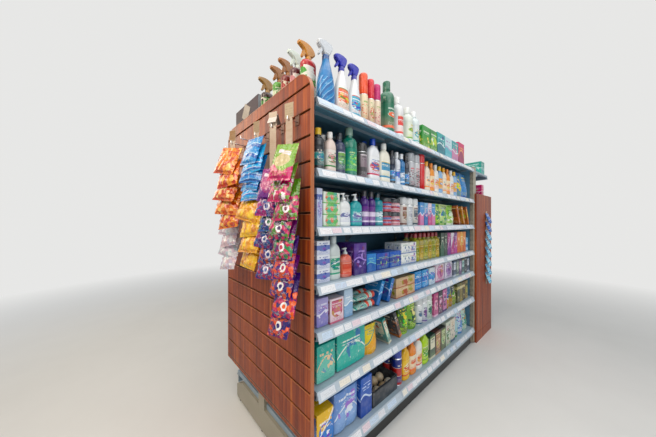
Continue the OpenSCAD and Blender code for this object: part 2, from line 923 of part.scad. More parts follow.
// A shelf's goods from left to right. Each entry is
// [form, goods side by side, width, depth, height, tiers, rows, colour]
base_goods = [
    ["pack", 1, 110, 90, 176, 1, 1, "#f0c63a"], ["pack", 1, 176, 120, 205, 1, 1, "#7d93d6"],
    ["carton", 1, 92, 70, 205, 1, 1, "#4d7fc9"], ["none", 1, 256, 0, 0, 1, 1, ""],
    ["can", 1, 66, 66, 225, 1, 2, "#27408f"], ["flask", 1, 84, 52, 235, 1, 1, "#f1c231"],
    ["flask", 2, 82, 52, 232, 1, 2, "#ef8a3c"], ["flask", 1, 92, 56, 238, 1, 2, "#b6d433"],
    ["carton", 3, 92, 70, 178, 1, 1, "#2d4a35"], ["carton", 2, 92, 70, 196, 1, 1, "#6b3f2b"],
    ["pouch", 3, 108, 70, 236, 1, 1, "#a8cfdc"]
];
goods_1 = [
    ["pack", 1, 118, 90, 178, 1, 1, "#2aa8a0"], ["pack", 1, 222, 130, 192, 1, 1, "#2bb0a2"],
    ["pouch", 1, 116, 70, 150, 1, 1, "#f2c838"], ["tilt", 1, 110, 110, 172, 1, 1, "#3a9a94"],
    ["tilt", 1, 112, 110, 182, 1, 1, "#d88a4c"], ["pouch", 2, 104, 70, 190, 1, 2, "#8fbc4b"],
    ["can", 3, 72, 72, 190, 1, 2, "#e9ecec"], ["carton", 3, 76, 60, 180, 1, 2, "#c95a92"],
    ["pouch", 3, 70, 60, 186, 1, 1, "#4b87c6"], ["carton", 4, 62, 60, 172, 1, 2, "#7a7a3c"]
];
goods_2 = [
    ["pack", 1, 74, 80, 136, 1, 1, "#a9a3d6"], ["carton", 1, 88, 60, 116, 1, 1, "#e3b6c4"],
    ["pack", 1, 66, 60, 148, 1, 1, "#b8d3e6"], ["tube", 1, 178, 48, 48, 2, 2, "#cfe6e2"],
    ["lean", 2, 96, 110, 142, 1, 1, "#4b9fd6"], ["carton", 1, 230, 90, 62, 2, 1, "#c7a37d"],
    ["pack", 3, 104, 80, 136, 1, 1, "#8fc6ea"], ["pack", 2, 166, 110, 146, 1, 1, "#efd3e2"],
    ["carton", 6, 62, 60, 140, 1, 1, "#5d6f7d"]
];
goods_3 = [
    ["carton", 1, 78, 70, 63, 3, 2, "#e8ecf4"], ["flask", 1, 74, 50, 206, 1, 2, "#dff0e6"],
    ["pump", 1, 76, 46, 146, 1, 1, "#f08a73"], ["carton", 1, 98, 60, 164, 1, 2, "#a992d0"],
    ["carton", 1, 82, 60, 100, 1, 1, "#2f86c4"], ["carton", 2, 122, 60, 96, 1, 2, "#2b62b0"],
    ["carton", 2, 92, 60, 70, 2, 2, "#eef0ee"], ["bottle", 6, 60, 60, 196, 1, 2, "#b7bd3c"],
    ["carton", 2, 62, 60, 190, 1, 1, "#2a4b3a"], ["carton", 3, 66, 60, 186, 1, 1, "#b8358a"],
    ["carton", 3, 66, 60, 188, 1, 1, "#f0962f"], ["jar", 1, 96, 96, 128, 1, 1, "#bcdcf0"]
];
goods_4 = [
    ["carton", 1, 32, 60, 172, 1, 2, "#e6eaf2"], ["carton", 1, 104, 66, 53, 3, 2, "#dcebd8"],
    ["pump", 1, 82, 48, 168, 1, 2, "#eff1f0"], ["pump", 1, 86, 50, 170, 1, 2, "#3fb0b4"],
    ["bottle", 2, 54, 54, 192, 1, 2, "#5a2f88"], ["bottle", 1, 70, 70, 194, 1, 2, "#2a9aa6"],
    ["jar", 2, 92, 92, 84, 2, 1, "#c2455a"], ["can", 3, 68, 68, 186, 1, 2, "#e8e2da"],
    ["carton", 4, 56, 50, 164, 1, 2, "#7fb3dc"], ["pouch", 3, 132, 70, 172, 1, 2, "#9ccb3a"],
    ["tilt", 3, 110, 110, 176, 1, 1, "#d9813a"]
];
goods_5 = [
    ["bottle", 1, 60, 60, 196, 1, 2, "#23303a"], ["flask", 1, 62, 46, 192, 1, 2, "#e7ddd6"],
    ["bottle", 1, 68, 68, 208, 1, 2, "#22406e"], ["bottle", 1, 86, 86, 258, 1, 1, "#2b9a83"],
    ["can", 1, 74, 74, 196, 1, 2, "#24262b"], ["flask", 1, 102, 56, 240, 1, 2, "#f2f3f5"],
    ["flask", 1, 100, 56, 236, 1, 2, "#f0e7c4"], ["bottle", 4, 50, 50, 212, 1, 2, "#2d3f58"],
    ["can", 2, 70, 70, 244, 1, 2, "#b9bcc0"], ["can", 1, 66, 66, 262, 1, 2, "#d7262f"],
    ["flask", 8, 70, 48, 222, 1, 2, "#ec9a44"], ["pouch", 2, 142, 80, 236, 1, 1, "#3e87c4"]
];
top_goods = [
    ["none", 1, 22, 0, 0, 1, 1, ""], ["trigger", 1, 100, 62, 312, 1, 1, "#4a9fe0"],
    ["trigger", 1, 92, 58, 294, 1, 1, "#f3f3f3"], ["trigger", 1, 84, 56, 288, 1, 1, "#eef4f6"],
    ["can", 1, 54, 54, 272, 1, 1, "#ef6a2b"], ["can", 1, 50, 50, 262, 1, 1, "#cf3240"],
    ["can", 1, 56, 56, 256, 1, 1, "#d9417f"], ["none", 1, 46, 0, 0, 1, 1, ""],
    ["bottle", 1, 98, 98, 336, 1, 1, "#1fa04c"], ["none", 1, 4, 0, 0, 1, 1, ""],
    ["bottle", 1, 84, 84, 276, 1, 1, "#f4f4f4"], ["none", 1, 26, 0, 0, 1, 1, ""],
    ["bottle", 2, 84, 84, 246, 1, 1, "#eef3ec"], ["none", 1, 2, 0, 0, 1, 1, ""],
    ["carton", 2, 118, 70, 166, 1, 1, "#3f9c46"], ["carton", 3, 140, 90, 178, 1, 1, "#3fb0b4"],
    ["carton", 2, 142, 80, 200, 1, 1, "#e0618f"]
];
cross_goods = [
    [["pack", 3, 180, 120, 220, 1, 1, "#e0b23c"], ["carton", 2, 130, 90, 180, 1, 1, "#5b7fb5"]],
    [["pouch", 4, 110, 70, 210, 1, 1, "#d8593c"], ["carton", 3, 120, 80, 190, 1, 1, "#3a8a5a"]],
    [["jar", 4, 86, 86, 130, 1, 2, "#d9c9a0"], ["can", 5, 74, 74, 170, 1, 1, "#b33a3a"]],
    [["carton", 4, 96, 70, 160, 1, 1, "#7a5aa0"], ["bottle", 5, 72, 72, 220, 1, 1, "#4a9f8a"]],
    [["pack", 1, 150, 90, 150, 1, 1, "#e85a94"], ["carton", 2, 120, 80, 180, 1, 1, "#5aa0d0"],
        ["bottle", 5, 70, 70, 206, 1, 1, "#e88fb0"]],
    [["carton", 2, 180, 120, 150, 1, 1, "#2fa59a"], ["carton", 4, 110, 80, 170, 1, 1, "#d0a24a"]]
];

function entry_start(list, i) =
    i == 0 ? stock_margin
        : entry_start(list, i - 1) + list[i - 1][1] * (list[i - 1][2] + facing_gap);

// Goods that don't fit the length, the zone or the free height are left off
module stock_row(list, length, zone, free_h) {
    for (i = [0:len(list) - 1], n = [0:list[i][1] - 1]) {
        e = list[i];
        x = entry_start(list, i) + n * (e[2] + facing_gap);
        for (row = [0:e[6] - 1], tier = [0:e[5] - 1])
            if (e[0] != "none" && x + e[2] <= length - stock_margin
                && (row + 1) * (e[3] + facing_gap) <= zone
                && (tier + 1) * (e[4] + seat) <= free_h)
                translate([x, row * (e[3] + facing_gap), seat + tier * (e[4] + seat)])
                    color(e[7]) item(e[0], e[2], e[3], e[4]);
    }
}

top_free_h = 400;
free_play = 4;
function free_h(v, k) = k == len(v) ? top_free_h : v[k] * slot_pitch - lip_h - free_play;
module front_stock(k, list) {
    translate([0, -spine_d / 2 - front_depth + stock_back, level(k)])
        stock_row(list, run_l, front_zone - stock_back, free_h(steps, k));
}

function reversed(v) = [for (i = [len(v) - 1:-1:0]) v[i]];
module back_stock(k, list) {
    translate([run_l, spine_d / 2 + back_depth - stock_back, level(k)])
        rotate([0, 0, 180])
            stock_row(reversed(list), run_l, back_zone - stock_back, free_h(steps, k));
}

module base_deck_stock() { front_stock(0, base_goods); }
module shelf_1_stock() { front_stock(1, goods_1); }
module shelf_2_stock() { front_stock(2, goods_2); }
module shelf_3_stock() { front_stock(3, goods_3); }
module shelf_4_stock() { front_stock(4, goods_4); }
module shelf_5_stock() { front_stock(5, goods_5); }

// Spray bottles stand behind each other at the near end of the top shelves, the last on
// the back one
spray_w = 84;
spray_d = 56;
spray_h = 332;
spray_rise = 4;
spray_pitch = 90;
spray_back = 10;
spray_row = 4;
module spray(k) {
    color(k % 2 == 0 ? "#c9402f" : "#e6efe2") sprayer(spray_w, spray_d, spray_h + spray_rise * k);
}

module top_shelf_stock() {
    front_stock(6, top_goods);
    for (k = [0:spray_row - 1])
        translate([
            stock_margin,
            -spine_d / 2 - spray_back - (spray_row - 1 - k) * spray_pitch - spray_d,
            top_z + seat
        ])
            spray(k);
}

module back_lower_stock() {
    back_stock(0, base_goods);
    back_stock(1, goods_1);
    back_stock(2, goods_2);
}

module back_middle_stock() {
    back_stock(3, goods_3);
    back_stock(4, goods_4);
}

// The case stands a little over the edge of its shelf
case_w = 300;
case_h = 266;
case_back = 84;
case_over = 96;
module back_upper_stock() {
    back_stock(5, goods_5);
    translate([stock_margin, spine_d / 2 + spray_back, top_z + seat]) spray(spray_row);
    translate([stock_margin, spine_d / 2 + case_back, top_z + seat])
        color("#5a4038") cube([case_w, back_depth - case_back + case_over, case_h]);
}

module cross_bay_stock() {
    across_end()
        for (k = [0:5])
            translate([cross_pitch, cross_spine_d / 2 + cross_depth - stock_back, cross_level(k)])
                rotate([0, 0, 180])
                    stock_row(
                        cross_goods[k], cross_pitch, front_zone - stock_back,
                        free_h(cross_steps, k)
                    );
}

// A shallow carton tray of loose round goods on the base deck
tray_w = 244;
tray_d = 150;
tray_h = 92;
tray_wall = 4;
round_d = 58;
module open_tray() {
    translate([
        entry_start(base_goods, 3) + 4, -spine_d / 2 - front_depth + stock_back, base_z + seat
    ]) {
        color("#4a5058")
            difference() {
                cube([tray_w, tray_d, tray_h]);
                translate([tray_wall, tray_wall, tray_wall])
                    cube([tray_w - 2 * tray_wall, tray_d - 2 * tray_wall, tray_h]);
            }
        color("#c9ac86")
            for (x = [0:3], y = [0:1])
                translate([
                    tray_wall + (x + 0.5) * (tray_w - 2 * tray_wall) / 4,
                    tray_wall + (y + 0.5) * (tray_d - 2 * tray_wall) / 2,
                    tray_wall + seat + round_d / 2
                ])
                    sphere(d = round_d, $fn = 40);
    }
}

spine_uprights();
spine_rails();
back_panels();
levelling_feet();
base_legs();
base_decks();
front_shelves();
back_shelves();
front_brackets();
back_brackets();
front_ticket_strips();
back_ticket_strips();
kick_plates();
slatwall_core();
slatwall_slats();
slatwall_edging();
display_hooks();
clip_strips();
green_bags();
purple_bags();
blue_bags();
yellow_bags();
orange_bags();
white_bags();
cross_bay_uprights();
cross_bay_rails();
cross_bay_back_panels();
cross_bay_legs();
cross_bay_deck();
cross_bay_shelves();
cross_bay_brackets();
cross_bay_ticket_strips();
cross_bay_side_panels();
cross_bay_side_packs();
cross_bay_stock();
base_deck_stock();
shelf_1_stock();
shelf_2_stock();
shelf_3_stock();
shelf_4_stock();
shelf_5_stock();
top_shelf_stock();
back_lower_stock();
back_middle_stock();
back_upper_stock();
open_tray();
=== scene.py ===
import json
import math
import random
from itertools import product

import bmesh
import bpy
import numpy as np
from mathutils import Matrix, Vector


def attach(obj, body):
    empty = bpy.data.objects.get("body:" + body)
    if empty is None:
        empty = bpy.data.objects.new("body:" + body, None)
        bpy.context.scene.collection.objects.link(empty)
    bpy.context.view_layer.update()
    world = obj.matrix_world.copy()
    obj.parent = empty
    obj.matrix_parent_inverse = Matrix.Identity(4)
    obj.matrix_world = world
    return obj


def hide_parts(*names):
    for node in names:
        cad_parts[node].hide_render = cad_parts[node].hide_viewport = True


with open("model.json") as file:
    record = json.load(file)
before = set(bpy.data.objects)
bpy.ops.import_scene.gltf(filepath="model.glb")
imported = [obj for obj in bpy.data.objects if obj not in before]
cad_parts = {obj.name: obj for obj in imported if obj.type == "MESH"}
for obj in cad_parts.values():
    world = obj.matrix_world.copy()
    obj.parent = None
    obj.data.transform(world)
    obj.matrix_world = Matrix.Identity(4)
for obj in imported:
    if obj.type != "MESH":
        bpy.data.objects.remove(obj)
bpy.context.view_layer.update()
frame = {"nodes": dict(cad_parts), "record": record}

# Lengths are in millimetres up to the point where a mesh is made, and the angles that have a
# name are in degrees. The stage, the lamps and the camera are in metres.
metre = 0.001

run = {
    "bayPitch": 665, "bays": 3, "frontDepth": 450, "backDepth": 350, "baseZ": 170,
    "spineDepth": 70, "uprightWidth": 30, "slotPitch": 50.8, "steps": [6, 5, 4, 5, 5, 6],
    "panelOver": 115, "boardDepth": 18, "groovePitch": 109, "topLand": 70, "seat": 0.3,
}
cross = {"spineDepth": 80, "depth": 450, "steps": [7, 7, 6, 6, 5], "panelThickness": 18}


def shelfLevels(steps):               # the deck and the shelves over it
    return [run["baseZ"] + run["slotPitch"] * sum(steps[:k]) for k in range(len(steps) + 1)]


levels = shelfLevels(run["steps"])
topShelf = len(levels) - 1
crossLevels = shelfLevels(cross["steps"])
halfSpine = run["spineDepth"] / 2
runLength = run["bayPitch"] * run["bays"]
crossPitch = 2 * (halfSpine + run["frontDepth"]) - run["uprightWidth"]
crossX = runLength + run["uprightWidth"] / 2 + run["seat"]
faceX = -run["uprightWidth"] / 2 - run["seat"] - run["boardDepth"]
panelTop = levels[-1] + run["panelOver"]


def grooveZ(k):
    return panelTop - run["topLand"] - run["groovePitch"] * k


def ink(code):                        # a colour as it is seen, in the renderer's linear numbers
    parts = [int(code.strip("#")[i:i + 2], 16) / 255 for i in (0, 2, 4)]
    return tuple(p / 12.92 if p <= 0.04045 else ((p + 0.055) / 1.055) ** 2.4 for p in parts) + (1.0,)


def moved(x, y, z):
    return Matrix.Translation((x, y, z))


def spun(angle, axis):
    return Matrix.Rotation(math.radians(angle), 4, axis)


def linked(name, data):
    thing = bpy.data.objects.new(name, data)
    bpy.context.scene.collection.objects.link(thing)
    return thing


def meshed(name, corners, faces):
    mesh = bpy.data.meshes.new(name)
    mesh.from_pydata(corners, [], faces)
    return mesh


# Shader maths

def reckoned(operation, swapped=False):
    def result(wire, other):
        pair = (other, wire) if swapped else (wire, other)
        return wire.nodes.make("ShaderNodeMath", {"operation": operation}, dict(enumerate(pair)))
    return result


class Wire:                           # a socket that adds its Math node when it is reckoned with
    __add__, __radd__ = reckoned("ADD"), reckoned("ADD", True)
    __sub__, __rsub__ = reckoned("SUBTRACT"), reckoned("SUBTRACT", True)
    __mul__, __rmul__ = reckoned("MULTIPLY"), reckoned("MULTIPLY", True)
    __mod__, __rmod__ = reckoned("FLOORED_MODULO"), reckoned("FLOORED_MODULO", True)
    __gt__, __lt__ = reckoned("GREATER_THAN"), reckoned("LESS_THAN")

    def __init__(self, nodes, socket):
        self.nodes = nodes
        self.socket = socket

    def __abs__(self):
        return self.called("ABSOLUTE")

    def called(self, operation, *values):
        return self.nodes.make("ShaderNodeMath", {"operation": operation},
                               dict(enumerate((self, *values))))

    def within(self, low, high):
        return (self > low) * (self < high)


class Nodes:                          # a node tree while it is put together
    def __init__(self, tree):
        self.tree = tree

    def put(self, socket, value):     # a wire is linked, and a colour may come as its code
        if isinstance(value, Wire):
            self.tree.links.new(value.socket, socket)
        else:
            socket.default_value = ink(value) if isinstance(value, str) else value

    def make(self, kind, settings=None, inputs=None, output=0):
        node = self.tree.nodes.new(kind)
        for key, value in (settings or {}).items():
            if key == "stops":
                while len(node.color_ramp.elements) < len(value):
                    node.color_ramp.elements.new(0.5)
                for element, (place, code) in zip(node.color_ramp.elements, value):
                    element.position = place
                    element.color = ink(code)
            else:
                setattr(node, key, value)
        for key, value in (inputs or {}).items():
            self.put(node.inputs[key], value)
        return Wire(self, node.outputs[output])


class Paint(Nodes):                   # one material, with the point in the row frame at hand
    def __init__(self, name, **fixed):
        self.material = bpy.data.materials.new(name)
        self.material.use_nodes = True
        super().__init__(self.material.node_tree)
        self.shader = self.tree.nodes["Principled BSDF"]
        self.where = self.make("ShaderNodeTexCoord", output="Object")
        self.finish(**fixed)

    def mix(self, factor, first, second):
        return self.make("ShaderNodeMix", {"data_type": "RGBA"}, {0: factor, 6: first, 7: second}, 2)

    def stretched(self, scale):
        return self.make("ShaderNodeVectorMath", {"operation": "MULTIPLY"}, {0: self.where, 1: scale})

    def noise(self, scale, detail=3.0, roughness=0.55, stretch=None, where=None):
        where = self.stretched(stretch) if stretch else where or self.where
        return self.make("ShaderNodeTexNoise", {}, {
            "Vector": where, "Scale": scale, "Detail": detail, "Roughness": roughness})

    def vector(self, *parts):
        return self.make("ShaderNodeCombineXYZ", {}, dict(enumerate(parts)))

    def split(self, where):
        node = self.make("ShaderNodeSeparateXYZ", {}, {0: where}).socket.node
        return [Wire(self, socket) for socket in node.outputs]

    def read(self, name, output="Color"):
        return self.make("ShaderNodeAttribute", {"attribute_name": name}, {}, output)

    def scaled(self, wire, *span):    # span is low and high, and what they turn into
        return self.make("ShaderNodeMapRange", {}, dict(enumerate((wire, *span))))

    def gloss(self, wire, low, high): # roughness that comes and goes with a noise
        return self.scaled(wire, 0.3, 0.7, low, high)

    def veil(self, wire, low, high, share, under, over):
        return self.mix(self.scaled(wire, low, high, 0.0, share), under, over)

    def printPlace(self):             # the map's u and v
        return self.split(self.make("ShaderNodeUVMap", {"uv_map": "printMap"}))[:2]

    def chance(self, along, down):    # one random number for each whole step along and down
        return self.make(
            "ShaderNodeTexWhiteNoise", {"noise_dimensions": "2D"},
            {"Vector": self.vector(along.called("FLOOR"), down.called("FLOOR"))})

    def bump(self, height, distance, strength=0.3):
        return self.make(
            "ShaderNodeBump", {}, {"Strength": strength, "Distance": distance, "Height": height})

    def finish(self, **sockets):
        for key, value in sockets.items():
            self.put(self.shader.inputs[key.replace("_", " ")], value)
        return self.material

    def worn(self, colour, cloud, bloom, gloss, relief, dull=None):
        # a bloom on the colour, which comes and goes with the gloss; bloom holds the cloud's
        # range, its share and its colour, and relief the bump's height and distance
        low, high, share, over = bloom
        rough = self.gloss(cloud, *gloss)
        return self.finish(
            Base_Color=self.veil(cloud, low, high, share, colour, over),
            Roughness=rough if dull is None else rough + dull, Normal=self.bump(*relief))


# Steel, board and plastic of the run itself

def coatedSteel(name, colour, soil, under):
    paint = Paint(name, Specular_IOR_Level=0.4)
    cloud = paint.noise(2.2, 4.0)
    streak = paint.noise(1.0, 5.0, 0.65, (3.0, 3.0, 60.0))
    scratch = paint.noise(1.0, 2.0, 0.8, (160.0, 6.0, 40.0))
    shade = paint.veil(cloud, 0.35, 0.7, 0.5, colour, soil)
    shade = paint.veil(streak, 0.58, 0.8, 0.35, shade, soil)
    # faces that point down get a darker, bluer colour, painted shade of the undersides
    upward = paint.split(paint.make("ShaderNodeNewGeometry", output="Normal"))[2]
    peel = paint.noise(420.0, 2.0) * 0.7 + paint.noise(900.0, 1.0) * 0.3
    return paint.finish(
        Base_Color=paint.mix(paint.scaled(upward, -0.9, -0.3, 1.0, 0.0), shade, under),
        Roughness=paint.gloss(cloud, 0.32, 0.48) + 0.12 * (scratch > 0.72),
        Normal=paint.bump(peel, 0.00012, 0.35))


def laminate():
    paint = Paint("mahoganyLaminate", Specular_IOR_Level=0.32)
    across, height = paint.split(paint.where)[::2]
    figure = paint.noise(2.2, 5.0, 0.6, (9.0, 9.0, 0.55))
    streak = paint.noise(2.0, 2.0, 0.5, (30.0, 30.0, 0.8))
    grain = paint.noise(2.4, 6.0, 0.7, (60.0, 60.0, 1.3))
    pore = paint.noise(2.0, 3.0, 0.8, (300.0, 300.0, 5.0))
    scuff = paint.noise(3.0, 6.0, 0.75, (14.0, 14.0, 14.0))
    colour = paint.make(
        "ShaderNodeValToRGB",
        {"stops": [(0.3, "#4a1808"), (0.43, "#782b0c"), (0.53, "#974014"), (0.62, "#b0561a"),
                   (0.74, "#c87428")]},
        {0: figure * 0.4 + streak * 0.55 + grain * 0.4 - 0.175})
    colour = paint.veil(pore, 0.6, 0.78, 0.55, colour, "#35130c")
    pitch = run["groovePitch"] * metre
    offGroove = abs((height - grooveZ(0) * metre + 20 * pitch + pitch / 2) % pitch - pitch / 2)
    # worn pale lips, and painted shade darkening the grooves, on the end panel of the run alone
    onRun = across < -0.01
    colour = paint.mix(onRun * offGroove.within(0.0042, 0.0064) * 0.4, colour, "#c58e62")
    colour = paint.mix(onRun * (offGroove < 0.0042) * 0.8, colour, "#2a120c")
    low = paint.scaled(height, 0.24, 0.55, 0.35, 0.0)
    return paint.finish(
        Base_Color=paint.mix(paint.scaled(scuff, 0.6, 0.8, 0.0, 1.0) * low, colour, "#b08a76"),
        Roughness=paint.scaled(scuff, 0.3, 0.75, 0.36, 0.52),
        Normal=paint.bump(grain * 0.5 + pore * 0.5, 0.00025, 0.4))


def edgeBand():
    paint = Paint("reddishEdgeBand", Specular_IOR_Level=0.45)
    grain = paint.noise(3.0, 5.0, 0.65, (80.0, 80.0, 2.5))
    colour = paint.mix(grain, "#8a4526", "#c27a4c")
    return paint.finish(
        Base_Color=paint.veil(paint.noise(130.0, 4.0, 0.7), 0.68, 0.76, 0.7, colour, "#d9b496"),
        Roughness=paint.scaled(grain, 0.2, 0.8, 0.28, 0.42), Normal=paint.bump(grain, 0.0002, 0.4))


def mouldedPlastic(name, colour, other, gloss, **fixed):
    paint = Paint(name, Specular_IOR_Level=0.5, **fixed)
    smear = paint.noise(1.0, 4.0, 0.7, (20.0, 20.0, 90.0))
    return paint.finish(
        Base_Color=paint.veil(paint.noise(8.0), 0.35, 0.7, 1.0, colour, other),
        Roughness=paint.gloss(smear, gloss, gloss + 0.18),
        Normal=paint.bump(paint.noise(260.0, 3.0, 0.6), 0.00008, 0.35))


def zincWire():
    paint = Paint("brightZincWire")
    brushed = paint.noise(2.0, 4.0, 0.7, (40.0, 400.0, 400.0))
    plate = paint.split(paint.where)[0] > (faceX - 3.0) * metre
    shade = paint.mix(paint.noise(30.0, 4.0), "#c3c6c8", "#e4e6e6")
    return paint.finish(
        Base_Color=paint.mix(plate, shade, "#7d4a30"), Metallic=1 - plate * 0.8,
        Roughness=paint.gloss(brushed, 0.16, 0.34) + plate * 0.2,
        Normal=paint.bump(brushed, 0.00005))


dress = {                             # by the record's material slots
    # the last colour of each steel is painted shade on its faces that point down
    "grey_steel": coatedSteel("greyCoatedSteel", "#9fb0bc", "#8597a4", "#6296b0"),
    "cream_steel": coatedSteel("creamCoatedSteel", "#a39b88", "#857d6c", "#8c8474"),
    # the back panels take the shelves' paint made darker and bluer, painted shade of the recess behind
    # the goods
    "shade_steel": coatedSteel("paintedShadeBackPanelSteel", "#5c8ba6", "#487590", "#5c8ba6"),
    "black_steel": coatedSteel("blackCoatedSteel", "#1a1b1d", "#2e2c2a", "#1a1b1d"),
    "laminate": laminate(), "edging": edgeBand(), "wire": zincWire(),
    "clip_plastic": mouldedPlastic("clipStripPlastic", "#c4ab92", "#dccbb6", 0.2, Alpha=0.78),
    "strip_plastic": mouldedPlastic("ticketStripPlastic", "#aab7c3", "#bcc7d0", 0.16),
}
dressed = [part for part in frame["record"]["subparts"] if part["material_slot"] in dress]
for part in dressed:
    materials = frame["nodes"][part["node"]].data.materials
    materials.clear()
    materials.append(dress[part["material_slot"]])
print("steel, board and plastic are on", len(dressed), "nodes")


# Printed and moulded goods. One material of each kind serves them all: its inks come from the
# faces' own attributes, and plan holds the design's number, its seed and its side.

designs = ["plain", "band", "disc", "wave", "panel", "slant", "spots", "stripes", "burst", "arch",
           "splash", "medal", "folds", "window", "blots", "streaks"]
inkNames = ["groundInk", "accentInk", "markInk", "bodyInk"]


def square(wire):
    return wire * wire


def printed(paint, wrapped):
    u, v = paint.printPlace()
    kind, seed, tall = paint.split(paint.read("plan", "Vector"))
    ground, accent, mark, body = [paint.read(name) for name in inkNames]

    def chosen(name):
        return kind.called("COMPARE", designs.index(name), 0.4)

    def cells(x, y, randomness, output):
        return paint.make("ShaderNodeTexVoronoi", {}, {
            "Vector": paint.vector(x, y, seed), "Scale": 1.0, "Randomness": randomness}, output)

    def blocks(rows, columns, share):
        # short plain blocks in rows stand where the real ones have their print
        down = (v + seed) * rows
        along = (u + seed * 0.37) * columns
        return ((paint.chance(along, down) > 1 - share) * (down % 1.0).within(0.2, 0.74)
                * (along % 1.0 > 0.14))

    middle = u - 0.5
    high = v * tall
    rise = (v - 0.55) * tall
    away = (square(middle) + square(rise)).called("SQRT")
    swell = ((u + seed) * 5.2).called("SINE") * 0.06
    spoke = (rise.called("ARCTAN2", middle) * 12.0).called("SINE")
    spots = cells(u * 3.2, high * 3.2, 0.8, 0)
    streak = ((v - middle * 1.1) * 3.2).called("FRACT")
    low = (square(u - 0.56) * 1.5 + square((v - 0.42) * tall)).called("SQRT")
    curl = ((u * 3.0 + seed) * 2.0).called("SINE") * 0.07
    crease = (v * 2.6 + curl * 2.0 + seed).called("FRACT")
    tilted = v * 0.9 - middle * 0.6
    bowed = square(middle) * 1.3
    # packs of goods get a small picture of uneven cells, a foot band and a soft fade
    luck = (seed * 3.7) % 1.0
    goods = (kind > 0.5) * (kind < designs.index("splash") - 0.5)
    picture = goods * (luck < 0.75) * (square(middle) * 6.5 + square(v - 0.48) * 16.0 < 1.0)
    foot = goods * (luck > 0.35) * (v < 0.065 + luck * 0.04)
    fine = 6.0 + 1.4 * (kind > designs.index("splash") - 0.5) - 3.6 * chosen("blots")
    wander = paint.noise(2.0, 2.0, where=paint.vector(u * 2.6, high * 2.6, seed)) * 1.4
    patch = paint.split(cells(u * fine + wander, high * fine - wander, 1.0, 1))[0]
    medal = chosen("medal")
    splash = chosen("splash") + chosen("blots")
    accents = {
        "window": v < 0.3 + curl * 1.5,
        # the fold design's dark bands are painted shade of creased film
        "folds": crease.within(0.0, 0.34),
        "streaks": streak.within(0.0, 0.4),
        "band": v.within(0.36, 0.66),
        "disc": away < 0.33,
        "wave": v < 0.46 + swell,
        "panel": v.within(0.42, 0.88) * u.within(0.1, 0.9),
        "slant": tilted < 0.5,
        "spots": (spots < 0.3) * (v < 0.7),
        "stripes": (u * 7.0) % 1.0 < 0.42,
        "burst": away < 0.3 + 0.05 * spoke,
        "arch": v < 0.62 - bowed,
    }
    marks = {
        "medal": low < 0.17,
        "window": square(middle) * 9.0 + square(v - 0.5) * 26.0 < 1.0,
        # the fold design's pale lines are painted highlights on the creases
        "folds": crease.within(0.34, 0.42),
        "streaks": streak.within(0.46, 0.56),
        "band": v.within(0.345, 0.36) + v.within(0.66, 0.675),
        "disc": away.within(0.35, 0.375) + (away < 0.12),
        "wave": (v - swell).within(0.47, 0.52),
        "panel": v.within(0.88, 0.92) * u.within(0.1, 0.9),
        "slant": tilted.within(0.53, 0.58),
        "spots": (spots < 0.13) * (v < 0.7),
        "stripes": v.within(0.7, 0.84),
        "burst": away < 0.14,
        "arch": (v + bowed).within(0.64, 0.69),
    }

    def masked(masks, more):
        total = more + sum(chosen(name) * mask for name, mask in masks.items())
        return total.called("MINIMUM", 1.0)

    accentMask = masked(accents, (splash + medal + picture) * (patch < 0.36) + foot)
    markMask = masked(marks, (splash + picture) * patch.within(0.36, 0.5))
    fourthMask = masked({"window": (v + middle * 0.2).within(0.68, 0.79) * u.within(0.2, 0.8)},
                        (splash + medal) * patch.within(0.5, 0.68) + medal * (low < 0.085))
    label = (kind > 0.5) * v.within(0.0, 1.0)
    colour = paint.mix(accentMask * label, ground, accent)
    colour = paint.mix(markMask * label, colour, mark)
    colour = paint.mix(fourthMask * label, colour, body)
    turned = paint.make("ShaderNodeHueSaturation", {}, {
        "Hue": 0.62, "Saturation": 1.1, "Value": 0.9, "Color": accent})
    seal = goods * luck.within(0.2, 0.7) * (square(u - 0.72) + square((v - 0.84) * tall) < 0.011)
    colour = paint.mix(picture * patch.within(0.5, 0.72) * label, colour, turned)
    colour = paint.mix(seal * label, colour, turned)
    colour = paint.mix(goods * paint.scaled(v, 0.0, 0.6, 0.28, 0.0), colour, accent)
    offTitle = v - (0.7 + ((seed * 7.3) % 1.0) * 0.13)
    wide = u.within(0.14, 0.86)
    small = blocks(36.0, 22.0, 0.6) * v.within(0.09, 0.25) * wide
    big = (blocks(9.0, 8.0, 0.78) * offTitle.within(-0.055, 0.055) * wide
           + blocks(24.0, 17.0, 0.7) * offTitle.within(-0.13, -0.075) * u.within(0.2, 0.8))
    text = (small * 0.6 + big * 0.9).called("MINIMUM", 1.0) * label
    colour = paint.mix(text, colour, paint.mix(accentMask, mark, ground))
    if wrapped:
        colour = paint.mix(label, body, colour)
    return deepened(paint, colour), label


def deepened(paint, colour):          # the inks a little darker and fuller
    colour = paint.make("ShaderNodeHueSaturation", {}, {
        "Hue": 0.5, "Saturation": 1.1, "Value": 0.93, "Color": colour})
    return paint.make("ShaderNodeGamma", {}, {"Color": colour, "Gamma": 1.2})


def printedBoard():
    paint = Paint("printedBoard", Specular_IOR_Level=0.4)
    return paint.worn(
        printed(paint, False)[0], paint.noise(40.0), bloom=(0.4, 0.8, 0.1, "#f4f2ee"),
        gloss=(0.28, 0.4), relief=(paint.noise(700.0, 2.0), 0.00006))


def printedBottle():
    paint = Paint("printedBottle", Specular_IOR_Level=0.5)
    colour, label = printed(paint, True)
    return paint.worn(
        colour, paint.noise(30.0), bloom=(0.4, 0.8, 0.12, "#dcdcda"), gloss=(0.18, 0.28),
        relief=(paint.noise(90.0, 2.0) + label * 0.4, 0.0002), dull=0.12 * label)


